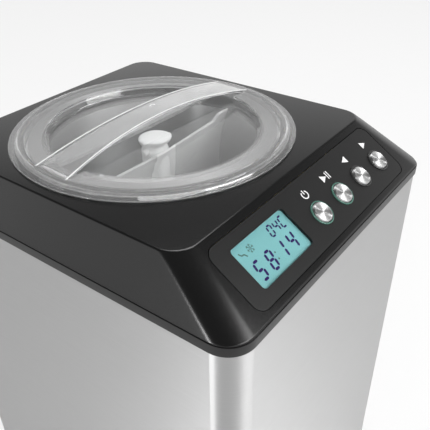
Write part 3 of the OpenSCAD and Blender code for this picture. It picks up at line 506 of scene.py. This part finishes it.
HANDLE_DROP = CROWN_Z - RIM_Z
HANDLE_ARC = (HANDLE_HALF ** 2 + HANDLE_DROP ** 2) / (2 * HANDLE_DROP)


def arch_z(x):
    """Height of the handle's upper face along it."""
    return CROWN_Z - HANDLE_ARC + math.sqrt(HANDLE_ARC ** 2 - min(abs(x), HANDLE_ARC) ** 2)


def strip_solid(name, wall, z0, fillet, sweep=90):
    """Solid under the handle's arch, drawn in by a wall, its upper edges rounded or beaded."""
    reach = HANDLE_HALF - 2.5 * wall
    rings = []
    for x in np.linspace(-reach, reach, 73):
        half = strip_half(x) - wall
        top = arch_z(x) - wall
        section = [(-half, z0)] + arc(-half + fillet, top - fillet, fillet, 180, 180 - sweep, 8)
        section += arc(half - fillet, top - fillet, fillet, sweep, 0, 8) + [(half, z0)]
        rings.append([(x, y, z) for y, z in section])
    obj = make(name, *loft(rings), AT_LID)
    outward(obj)
    return obj


def lid_disc():
    """Lid without its handle: dished middle, raised ring, skirt and lip."""
    under = LID_UNDER_Z
    profile = [(0, under), (BOWL_R - 1.9, under)]
    profile += [(BOWL_R - 1.5, under + 0.35), (BOWL_R - 0.4, TOP_Z + 0.3), (BOWL_R + 0.6, TOP_Z + 1.3)]
    profile += [(SKIRT_IN - 0.8, RIM_Z - LID_WALL), (SKIRT_IN, RIM_Z - LID_WALL - 0.8)]
    profile += [(SKIRT_IN, LUG_TOP_Z - LUG_T), (SKIRT_OUT, LUG_TOP_Z - LUG_T), (SKIRT_OUT, TOP_Z + 1.3)]
    profile += [(SKIRT_OUT + 4, TOP_Z + 1.3), (SKIRT_OUT + 4, TOP_Z + LID_LIFT)]
    profile += [(LID_R - 0.5, TOP_Z + LID_LIFT)]
    profile += arc(LID_R - 0.6, TOP_Z + LID_LIFT + 0.7, 0.6, -60, 80, 6)
    profile += [(SKIRT_OUT + 4.4, TOP_Z + 2), (SKIRT_OUT + 3.6, TOP_Z + 2.35)]
    profile += [(SKIRT_OUT + 3, TOP_Z + 3), (SKIRT_OUT + 1.9, RIM_Z - 0.3)]
    profile += [(SKIRT_OUT + 1.2, RIM_Z), (SKIRT_OUT + 0.4, RIM_Z)]
    profile += [(BOWL_R - 0.6, TOP_Z + 3.2), (BOWL_R - 1.2, TOP_Z + 3.05), (BOWL_R - 1.5, TOP_Z + 2.6)]
    profile += [(BOWL_R - 3.2, under + LID_WALL + 0.5), (BOWL_R - 3.45, under + LID_WALL + 0.1)]
    profile += [(BOWL_R - 4.0, under + LID_WALL), (0, under + LID_WALL)]
    return lathe("lid_clear", profile, AT_BOWL, 192, 40)


def lid_mark():
    """Raised turning arrow on the middle of the handle."""
    x, y, r = 4.2, 3.9, 1.6
    hook = band_outline(on_circle(x, y, r, np.radians(np.linspace(-35, 150, 19))), 0.55)
    head = [(x - r - 0.9, y + 0.9), (x - r + 1.2, y + 1.3), (x - r - 0.1, y - 0.9)]
    return flat_marks("lid_mark", [hook, head], (CROWN_Z - 0.9, CROWN_Z - 0.45), place=AT_LID)


def lid():
    """Clear lid: the disc, the arched handle hollowed from below, and three lugs."""
    obj = lid_disc()
    handle = strip_solid("handle", 0, LID_UNDER_Z, RIB_R, 180)
    near, far, low, high = BOWL_R - 1.5, HANDLE_HALF + 20, TOP_Z - 4, RIM_Z - LID_WALL
    gap = lathe("gap", [(near, low), (far, low), (far, high), (near, high)], AT_BOWL)
    combine(handle, gap, "DIFFERENCE")
    combine(obj, handle, "UNION")
    combine(obj, strip_solid("hollow", LID_WALL, TOP_Z - 5, 0.6), "DIFFERENCE")
    for turn in LUG_TURNS:
        lug = sector("lug", LUG_HALF, SKIRT_OUT - 0.5, SKIRT_OUT + LUG_LEN,
                     LUG_TOP_Z - LUG_T, LUG_TOP_Z, turn)
        combine(obj, lug, "UNION", 40)
    without_slivers(obj, 0.01)
    weigh(obj)
    return obj


# ---------- bowl and paddle ----------


def bowl():
    """Pressed bowl with a polished neck over a brushed wall."""
    low_r, fillet = BOWL_R - 1, 12.0
    bottom = FLOOR_Z - BOWL_WALL
    bead = TOP_Z - 9
    flange = TOP_Z - 1
    outer = BOWL_R + BOWL_WALL + 9
    tube = 10.5
    profile = [(tube - BOWL_WALL, bottom)]
    profile += arc(low_r + BOWL_WALL - fillet, bottom + fillet, fillet, -90, 0, 10)
    profile += [(low_r + BOWL_WALL, bead - 2), (BOWL_R + BOWL_WALL, bead)]
    profile += [(BOWL_R + BOWL_WALL + out, flange - down) for out, down in ((0, 1), (0.3, 0.3), (1, 0))]
    profile += [(outer - 0.4, flange)] + arc(outer - 0.5, flange + 0.5, 0.5, -90, 90, 6)[1:]
    profile += arc(BOWL_R + 1.2, flange - 0.2, 1.2, 90, 180, 5)
    profile += [(BOWL_R, bead + 0.6), (BOWL_R - 0.15, bead + 0.1)]
    profile += [(low_r + 0.15, bead - 1.6), (low_r, bead - 2.2)]
    profile += [(low_r, z) for z in np.linspace(bead - 8, FLOOR_Z + fillet + 2, 6)]
    inner = fillet - BOWL_WALL
    profile += arc(low_r - inner, FLOOR_Z + inner, inner, 0, -90, 10)
    profile += arc(tube + 3, FLOOR_Z + 3, 3, -90, -180, 5)
    profile += [(tube, FLOOR_Z + 39.4), (tube - 0.5, FLOOR_Z + 40), (tube - BOWL_WALL, FLOOR_Z + 40)]
    return lathe("bowl_pressed", profile, AT_BOWL, 192, 50)


def paddle():
    """Moulded paddle: a leaning sheet with rounded edges through a turned hub."""
    low, top = FLOOR_Z + 3, TOP_Z - 12
    lean_z, lean, centre = FLOOR_Z + 68, 8.5, -4.0
    reach, thick, corner = BOWL_R - 4, 1.5, 12.0

    def middle(z):
        return centre - lean * max(0.0, (z - lean_z) / (top + 4 - lean_z)) ** 2

    def foot(x):
        over = max(0.0, abs(x) - (reach - corner))
        return low + corner - math.sqrt(max(0.0, corner ** 2 - over ** 2))

    def head(x):
        from_hub, above = (0, reach - 16, reach - 15, reach - 12, reach), (-4, -1, 1, 4, 4)
        return float(np.interp(abs(x), from_hub, [top + step for step in above]))

    rings, tip = [], 1.6
    from_tip = np.array([0, 0.15, 0.5, 1.0, tip])
    for s in np.concatenate([from_tip - reach, np.linspace(3 - reach, reach - 3, 90),
                             reach - from_tip[::-1]]):
        edge = max(0.0, abs(s) - (reach - tip)) / tip
        t = thick * math.sqrt(max(0.02, 1 - edge * edge))
        z0, z1 = foot(s), head(s)
        heights = np.linspace(z0 + t, z1 - t, 26)
        front = [(s, middle(z) - t, z) for z in heights]
        back = [(s, middle(z) + t, z) for z in heights[::-1]]
        nose = [(s, middle(z1) + t * y, z1 - t + t * z) for y, z in arc(0, 0, 1, 180, 0, 6)[1:-1]]
        sole = [(s, middle(z0) + t * y, z0 + t + t * z) for y, z in arc(0, 0, 1, 0, -180, 6)[1:-1]]
        rings.append(front + nose + back + sole)
    sheet = make("sheet", *loft(rings), AT_BOWL)
    outward(sheet)
    hub, neck, skirt, bore = 9.8, 8.0, 14.0, 11.3
    base = FLOOR_Z + 44
    profile = [(0, low + 42), (bore, low + 41), (bore, low), (skirt, low), (skirt, base)]
    profile += [(hub + 1.2, base + 3.2), (hub, base + 5), (hub, top - 4.6), (hub - 0.15, top - 4.1)]
    profile += [(neck + 0.2, top - 1.2), (neck, top - 0.9), (neck, TOP_Z - 10.6)]
    profile += [(neck + 0.6, TOP_Z - 9.7), (neck + 1.4, TOP_Z - 9.5), (11.6, TOP_Z - 9.5)]
    profile += arc(11.3, TOP_Z - 7.6, 1.0, -60, 40, 4) + [(11.5, TOP_Z - 6.4)]
    profile += [(10.6, TOP_Z - 6.0), (9.6, TOP_Z - 5.9), (0, TOP_Z - 5.9)]
    obj = lathe("paddle_body", profile, AT_BOWL, 128, 40, closed=False)
    sideways = AT_BOWL @ shift(0, 0, top - 4) @ Matrix.Rotation(-math.pi / 2, 4, "Y")
    pin_profile = [(0, 6), (2.2, 6), (2.2, 11.7), (2.0, 12.2), (1.6, 12.5), (0, 12.5)]
    return join(obj, [sheet, lathe("pin", pin_profile, sideways, 48, 40)])


def join(obj, others):
    """Several objects as one mesh in the first one's place."""
    work = bmesh.new()
    for part in [obj] + others:
        part_mesh = part.data.copy()
        part_mesh.transform(obj.matrix_world.inverted() @ part.matrix_world)
        work.from_mesh(part_mesh)
    work.to_mesh(obj.data)
    work.free()
    for part in others:
        bpy.data.objects.remove(part)
    soften(obj, 40)
    return obj


# ---------- materials ----------

NOISE_SPAN = (0.3, 0.7)  # where nearly all of a noise's values lie


def add_node(tree, kind, **values):
    made = tree.nodes.new(kind)
    for key, value in values.items():
        setattr(made, key, value)
    return made


def mix_shaders(tree, factor, first, second):
    """The first shader where the factor is 0, the second where it is 1."""
    mix = add_node(tree, "ShaderNodeMixShader")
    for out, socket in zip((factor, first, second), mix.inputs):
        tree.links.new(out, socket)
    return mix.outputs["Shader"]


def set_range(node, from_span, to_span):
    for key, number in zip(("From Min", "From Max", "To Min", "To Max"), (*from_span, *to_span)):
        node.inputs[key].default_value = number


class Finish:
    """A node material with its Principled shader and object coordinates at hand."""

    def __init__(self, name, colour, rough, metal=0.0):
        self.name = name
        self.material = bpy.data.materials.new(name)
        self.material.use_nodes = True
        self.tree = self.material.node_tree
        self.shader = self.tree.nodes["Principled BSDF"]
        self.set(Base_Color=(*colour, 1), Roughness=rough, Metallic=metal)
        self.colour, self.rough = colour, rough
        self.coords = self.node("ShaderNodeTexCoord").outputs["Object"]

    def node(self, kind, **values):
        return add_node(self.tree, kind, **values)

    def set(self, **values):
        for key, value in values.items():
            self.shader.inputs[key.replace("_", " ")].default_value = value
        return self

    def link(self, out, socket):
        self.tree.links.new(out, socket)

    def show(self, shader):
        self.link(shader, self.tree.nodes["Material Output"].inputs["Surface"])

    def noise(self, scale, detail, stretch=(1, 1, 1), rough=0.55):
        """Noise over the object in cycles a metre, stretched along its axes."""
        place = self.node("ShaderNodeMapping")
        place.inputs["Scale"].default_value = stretch
        self.link(self.coords, place.inputs["Vector"])
        made = self.node("ShaderNodeTexNoise")
        made.inputs["Scale"].default_value = scale
        made.inputs["Detail"].default_value = detail
        made.inputs["Roughness"].default_value = rough
        self.link(place.outputs["Vector"], made.inputs["Vector"])
        return made.outputs["Fac"]

    def spread(self, value, low, high):
        """Noise value mapped to a range."""
        made = self.node("ShaderNodeMapRange")
        set_range(made, NOISE_SPAN, (low, high))
        self.link(value, made.inputs["Value"])
        return made.outputs["Result"]

    def mottle(self, value, amount):
        """Base colour varied about its own value."""
        mix = self.node("ShaderNodeMix", data_type="RGBA")
        dark = [c * (1 - amount) for c in self.colour]
        light = [min(1.0, c * (1 + amount)) for c in self.colour]
        mix.inputs["A"].default_value = (*dark, 1)
        mix.inputs["B"].default_value = (*light, 1)
        self.link(self.spread(value, 0, 1), mix.inputs["Factor"])
        self.link(mix.outputs["Result"], self.shader.inputs["Base Color"])
        return self

    def vary_rough(self, value, amount):
        low, high = max(0.02, self.rough - amount), min(1.0, self.rough + amount)
        self.link(self.spread(value, low, high), self.shader.inputs["Roughness"])
        return self

    def bump(self, value, depth_mm, strength):
        made = self.node("ShaderNodeBump")
        made.inputs["Strength"].default_value = strength
        made.inputs["Distance"].default_value = depth_mm * MM
        self.link(value, made.inputs["Height"])
        self.link(made.outputs["Normal"], self.shader.inputs["Normal"])
        return self

    def brushed(self):
        """Highlights drawn out along or across the turns round the upright axis."""
        tangent = self.node("ShaderNodeTangent", direction_type="RADIAL", axis="Z")
        self.link(tangent.outputs["Tangent"], self.shader.inputs["Tangent"])
        return self


def grey(level):
    """Linear colour from an sRGB level between 0 and 255."""
    return tuple([srgb(level)] * 3)


def srgb(level):
    c = level / 255
    return c / 12.92 if c <= 0.04045 else ((c + 0.055) / 1.055) ** 2.4


def rgb(r, g, b):
    return (srgb(r), srgb(g), srgb(b))


def plain(name, colour, rough, metal=0.0, grain=900, depth=0.02, mottle=0.05, sway=0.05, **sockets):
    """A moulded, cast or rolled surface with fine grain, slight colour change and uneven gloss."""
    made = Finish(name, colour, rough, metal).set(**sockets)
    made.mottle(made.noise(35, 5), mottle)
    made.vary_rough(made.noise(grain * 0.4, 3), sway)
    made.bump(made.noise(grain, 3), depth, 0.6)
    return made


def steel(name, level, rough, stretch, aniso, depth=0.004, mottle=0.05):
    """Metal brushed round an upright axis, so its highlights run up and down."""
    made = Finish(name, grey(level), rough, 1.0).set(Anisotropic=aniso, Anisotropic_Rotation=0.25)
    lines = made.noise(2600, 4, stretch, 0.7)
    made.mottle(lines, mottle)
    made.vary_rough(lines, 0.05)
    made.bump(lines, depth, 0.5)
    return made.brushed()


def clear(name, colour, rough, ior, through=1.0):
    """Clear plastic that lets the lamps' light through to what is under it."""
    made = Finish(name, colour, rough).set(Transmission_Weight=through, IOR=ior)
    made.vary_rough(made.noise(40, 4), 0.012)
    no_shadow = made.node("ShaderNodeBsdfTransparent")
    no_shadow.inputs["Color"].default_value = (0.93, 0.94, 0.94, 1)
    shadow_ray = made.node("ShaderNodeLightPath").outputs["Is Shadow Ray"]
    made.show(mix_shaders(made.tree, shadow_ray, made.shader.outputs["BSDF"], no_shadow.outputs["BSDF"]))
    return made


def skinned_foam():
    """Blown foam, under a dark skin where it rises round the cup's flange."""
    made = plain("foam", rgb(232, 216, 170), 0.9, grain=350, depth=0.5, mottle=0.12)
    foam_colour = made.shader.inputs["Base Color"].links[0].from_socket
    height = made.node("ShaderNodeSeparateXYZ")
    made.link(made.coords, height.inputs[0])
    above = made.node("ShaderNodeMath", operation="GREATER_THAN")
    above.inputs[1].default_value = FOAM_SKIN_Z * MM
    made.link(height.outputs["Z"], above.inputs[0])
    mix = made.node("ShaderNodeMix", data_type="RGBA")
    made.link(above.outputs[0], mix.inputs["Factor"])
    made.link(foam_colour, mix.inputs["A"])
    mix.inputs["B"].default_value = (*grey(28), 1)
    made.link(mix.outputs["Result"], made.shader.inputs["Base Color"])
    return made


FINISH = {made.name: made for made in (
    steel("brushed_steel", 198, 0.5, (0.012, 0.012, 1), 0.9),
    steel("bowl_steel", 142, 0.46, (0.02, 0.02, 0.8), 0.92),
    # Polished metal much darker than the bowl's steel: a painted dark reflection on the neck band.
    plain("neck_dark_reflection", grey(74), 0.08, 1.0, grain=300, depth=0.0004, mottle=0.03, sway=0.01),
    plain("black_plastic", grey(18), 0.22, grain=1500, depth=0.003, mottle=0.06, sway=0.02,
          Specular_IOR_Level=0.45),
    plain("skirt_plastic", grey(22), 0.34, grain=1500, depth=0.005, mottle=0.05, sway=0.03,
          Specular_IOR_Level=0.4),
    plain("dark_plate", grey(25), 0.38, grain=1800, depth=0.004, Specular_IOR_Level=0.32),
    clear("clear_window", grey(240), 0.03, 1.06),
    plain("lcd", rgb(108, 160, 162), 0.55, grain=2500, depth=0.001, mottle=0.02,
          Specular_IOR_Level=0.2, Emission_Color=(0.2, 0.5, 0.52, 1), Emission_Strength=0.06),
    plain("white_plastic", grey(226), 0.45),
    plain("paddle_plastic", grey(222), 0.35, depth=0.004, mottle=0.02),
    plain("paddle_sheet", grey(222), 0.3, depth=0.004, mottle=0.02, Alpha=0.55),
    plain("circuit", rgb(22, 84, 48), 0.4, grain=500, depth=0.03, mottle=0.2),
    steel("spun_metal", 226, 0.5, (1, 1, 1), 0.96, 0.0006, 0.03),
    plain("lit_ring", rgb(96, 142, 128), 0.22, grain=1200, depth=0.004, Transmission_Weight=0.35),
    plain("dark_ring", grey(58), 0.22, grain=1200, depth=0.004, Transmission_Weight=0.2),
    plain("lcd_ink", rgb(47, 31, 85), 0.8, grain=2000, depth=0.001, Specular_IOR_Level=0.05),
    plain("lcd_faint", rgb(76, 102, 96), 0.8, grain=2000, depth=0.001, Specular_IOR_Level=0.05),
    plain("print_white", grey(236), 0.5, grain=2000, depth=0.001, mottle=0.02),
    clear("clear_lid", grey(250), 0.02, 1.46, 0.95),
    clear("milky_lid", grey(228), 0.08, 1.42, 0.8),
    # Whiter and less clear than the lid: a painted highlight along the beads of the handle's edges.
    clear("rib_painted_highlight", grey(246), 0.2, 1.42, 0.3),
    plain("rubber", grey(30), 0.75, grain=700, depth=0.05),
    plain("aluminium", grey(205), 0.36, 1.0, grain=1200, depth=0.01),
    plain("copper", rgb(196, 122, 84), 0.3, 1.0, grain=500, depth=0.01, mottle=0.15),
    skinned_foam(),
    plain("zinc_steel", rgb(186, 190, 194), 0.34, 1.0, grain=260, depth=0.01, mottle=0.16),
    plain("fastener", grey(190), 0.3, 1.0, grain=1500, depth=0.008),
    plain("bronze", rgb(176, 134, 84), 0.4, 1.0, grain=900, depth=0.02),
    plain("gear_plastic", rgb(228, 222, 206), 0.42, grain=900, depth=0.01),
    plain("compressor_black", grey(30), 0.4, grain=420, depth=0.06),
    plain("motor_steel", grey(150), 0.42, 1.0, grain=700, depth=0.02),
)}


def dress(obj, slot, *finishes):
    """Gives an object the slot's own finish, or the finishes named."""
    obj.data.materials.clear()
    for name in finishes or [slot]:
        obj.data.materials.append(FINISH[name].material)
    return obj


def paint(obj, choose):
    """Gives each face the finish whose number choose(face) returns."""
    for face in obj.data.polygons:
        face.material_index = int(choose(face))


def from_axis(face):
    return math.hypot(face.center.x, face.center.y)


# ---------- carried CAD nodes ----------

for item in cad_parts.values():
    for place in item.material_slots:
        name = place.material.name.split(".")[0] if place.material else ""
        if name not in FINISH:
            raise ValueError("no finish for " + name)
        place.material = FINISH[name].material


# ---------- dressed pieces ----------

SKIRT_FINISH_Z = TOP_Z - SLOPE_H - 0.35
# Inside this radius a button ring is painted dark as painted shade in the gap beside the cap.
SHADED_GAP_R = RING_R - 0.7
LEVEL_NORMAL = 0.7
MILKY_R, MILKY_Z = BOWL_R + 0.5, TOP_Z + 2
# Radii of the neck band that is painted darker as a painted dark reflection.
DARK_REFLECTION_BAND = (BOWL_R - 1.2, BOWL_R + 1.4)

cover = dress(top_cover(), "black_plastic", "black_plastic", "skirt_plastic")
paint(cover, lambda face: face.center.z < SKIRT_FINISH_Z * MM)
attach(cover, "housing")
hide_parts("top_cover")

plate = dress(control_plate(), "dark_plate")
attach(plate, "housing")
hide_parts("control_plate")

for k, body in enumerate(BUTTONS):
    cap = dress(button_cap(k), "spun_metal")
    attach(cap, body)
    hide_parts(body)

ring_slots = ["lit_ring", "lit_ring", "dark_ring", "dark_ring"]
rings = [dress(button_ring(k), slot, slot, "dark_ring") for k, slot in enumerate(ring_slots)]
# Each ring's inner part takes the dark finish as painted shade in the gap between cap and ring.
for ring in rings:
    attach(ring, "housing")
    paint(ring, lambda face: from_axis(face) < SHADED_GAP_R * MM)
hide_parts("light_rings")
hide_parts("trim_rings")

pane = dress(window_pane(), "clear_window")
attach(pane, "housing")
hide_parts("display_window")

for marks, ink, slot in ((lcd_digits(), "lcd_ink", "lcd"), (lcd_signs(), "lcd_faint", "lcd"),
                         (plate_icons(), "print_white", "dark_plate")):
    marks.data.materials.append(FINISH[ink].material)
    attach(marks, "housing")


def lid_finish(face):
    """Beads of the handle's edges 2, whitened as a painted highlight, level faces of handle and outer
    ring 1, all else clear, 0.
    """
    spot = to_lid @ face.center / MM
    level = abs(face.normal.z) > LEVEL_NORMAL
    inside = strip_half(spot.x) - abs(spot.y)
    on_strip = inside > 0 and spot.z > max(RIM_Z, arch_z(spot.x) - LID_WALL - 0.5)
    on_ring = math.hypot(spot.x, spot.y) > MILKY_R and spot.z > MILKY_Z
    if on_strip and inside < 2 * RIB_R and spot.z > arch_z(spot.x) - 1.2 * RIB_R:
        return 2
    return level and (on_strip or on_ring)


# The handle's beads take the whiter finish as a painted highlight.
clear_lid = dress(lid(), "clear_lid", "clear_lid", "milky_lid", "rib_painted_highlight")
to_lid = AT_LID.inverted() @ clear_lid.matrix_world
paint(clear_lid, lid_finish)
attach(clear_lid, "lid")
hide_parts("lid")

arrow = lid_mark()
arrow.data.materials.append(FINISH["print_white"].material)
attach(arrow, "lid")

# The neck band takes the darker polished metal as a painted dark reflection.
pressed = dress(bowl(), "bowl_steel", "bowl_steel", "neck_dark_reflection")
paint(pressed, lambda face: (face.center.z > NECK_Z * MM
                             and DARK_REFLECTION_BAND[0] * MM < from_axis(face) < DARK_REFLECTION_BAND[1] * MM))
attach(pressed, "bowl")
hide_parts("bowl")

blade = dress(paddle(), "paddle_plastic", "paddle_plastic", "paddle_sheet")
paint(blade, lambda face: from_axis(face) > HUB_CLEAR_R * MM)
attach(blade, "paddle")
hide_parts("paddle")

# ---------- camera, floor and light ----------


def aim(yaw, pitch, roll):
    """Camera axes from its heading, its angle below the horizon and its roll, in degrees."""
    y, p, r = np.radians([yaw, pitch, roll])
    ahead = Vector((math.sin(y) * math.cos(p), math.cos(y) * math.cos(p), -math.sin(p)))
    right = Vector((math.cos(y), -math.sin(y), 0))
    up = right.cross(ahead)
    across = right * math.cos(r) + up * math.sin(r)
    rise = up * math.cos(r) - right * math.sin(r)
    return Matrix((across, rise, -ahead)).transposed().to_4x4()


IMAGE = 430  # pixels each way
FOCAL_PX = 584.309
MIDDLE_PX = (204.449, 219.287)
SENSOR = 36
CAMERA_AT = (-276.68, -245.25, 515.2)
CAMERA_TURN = (51.896, 33.805, -1.49)

camera = bpy.data.objects.new("camera", bpy.data.cameras.new("camera"))
scene.collection.objects.link(camera)
camera.matrix_world = shift(*CAMERA_AT) @ aim(*CAMERA_TURN)
camera.data.sensor_width = SENSOR
camera.data.lens = FOCAL_PX * SENSOR / IMAGE
camera.data.shift_x = (IMAGE / 2 - MIDDLE_PX[0]) / IMAGE
camera.data.shift_y = (MIDDLE_PX[1] - IMAGE / 2) / IMAGE
camera.data.clip_start = 0.01
scene.camera = camera
scene.view_settings.view_transform = "Standard"

FLOOR_SIDE = 9000
FLOOR_GLOW = 0.75  # part of the floor's own white that the camera sees, the rest takes shadow

floor = slab("floor", round_rect(FLOOR_SIDE, FLOOR_SIDE, 200), -2, 0)
pale = plain("floor_white", grey(238), 0.6, grain=200, depth=0.01, mottle=0.01)
glow = pale.node("ShaderNodeEmission")
glow.inputs["Strength"].default_value = 1.0
whiter = pale.node("ShaderNodeMath", operation="MULTIPLY")
whiter.inputs[1].default_value = FLOOR_GLOW
pale.link(pale.node("ShaderNodeLightPath").outputs["Is Camera Ray"], whiter.inputs[0])
pale.show(mix_shaders(pale.tree, whiter.outputs[0], pale.shader.outputs["BSDF"], glow.outputs[0]))
floor.data.materials.append(pale.material)


def lamp(name, place, target, size, power):
    """Soft rectangular lamp aimed at a point, in metres and watts."""
    data = bpy.data.lights.new(name, "AREA")
    data.shape = "RECTANGLE"
    data.size, data.size_y = size
    data.energy = power
    obj = bpy.data.objects.new(name, data)
    scene.collection.objects.link(obj)
    obj.location = place
    obj.rotation_mode = "QUATERNION"
    obj.rotation_quaternion = (Vector(target) - Vector(place)).to_track_quat("-Z", "Y")


lamp("lamp_right", (0.9, 0.5, 2.0), (0, 0, 0.3), (0.9, 0.6), 10)
lamp("lamp_left", (-1.9, 0.3, 0.6), (0, 0, 0.3), (0.22, 0.8), 12)
lamp("lamp_key", (0.3, -1.3, 1.32), (0, -0.1, 0.32), (1.2, 0.8), 20)

# The world lights the scene evenly. The camera and clear pieces see it white, and metal sees it
# fade from white at the horizon to dark overhead, as the walls and ceiling of a studio do.
MIRRORED_HEIGHT, MIRRORED_STRENGTH = (0.3, 0.55), (1.1, 0.1)
WHITE, SOFT = 1.0, 0.5

world = bpy.data.worlds.new("studio")
scene.world = world
world.use_nodes = True
sky = world.node_tree
sky.nodes.clear()
paths = add_node(sky, "ShaderNodeLightPath").outputs


def background(strength):
    made = add_node(sky, "ShaderNodeBackground")
    made.inputs["Color"].default_value = (1, 1, 1, 1)
    made.inputs["Strength"].default_value = strength
    return made


def either(one, other):
    made = add_node(sky, "ShaderNodeMath", operation="MAXIMUM")
    sky.links.new(one, made.inputs[0])
    sky.links.new(other, made.inputs[1])
    return made.outputs[0]


height = add_node(sky, "ShaderNodeSeparateXYZ")
sky.links.new(add_node(sky, "ShaderNodeTexCoord").outputs["Generated"], height.inputs[0])
fade = add_node(sky, "ShaderNodeMapRange", interpolation_type="SMOOTHSTEP")
set_range(fade, MIRRORED_HEIGHT, MIRRORED_STRENGTH)
sky.links.new(height.outputs["Z"], fade.inputs["Value"])
studio = background(WHITE)
sky.links.new(fade.outputs["Result"], studio.inputs["Strength"])
looked_at = mix_shaders(sky, paths["Is Glossy Ray"], background(WHITE).outputs[0], studio.outputs[0])
looks = either(either(paths["Is Camera Ray"], paths["Is Transmission Ray"]), paths["Is Glossy Ray"])
lit = mix_shaders(sky, looks, background(SOFT).outputs[0], looked_at)
sky.links.new(lit, add_node(sky, "ShaderNodeOutputWorld").inputs["Surface"])
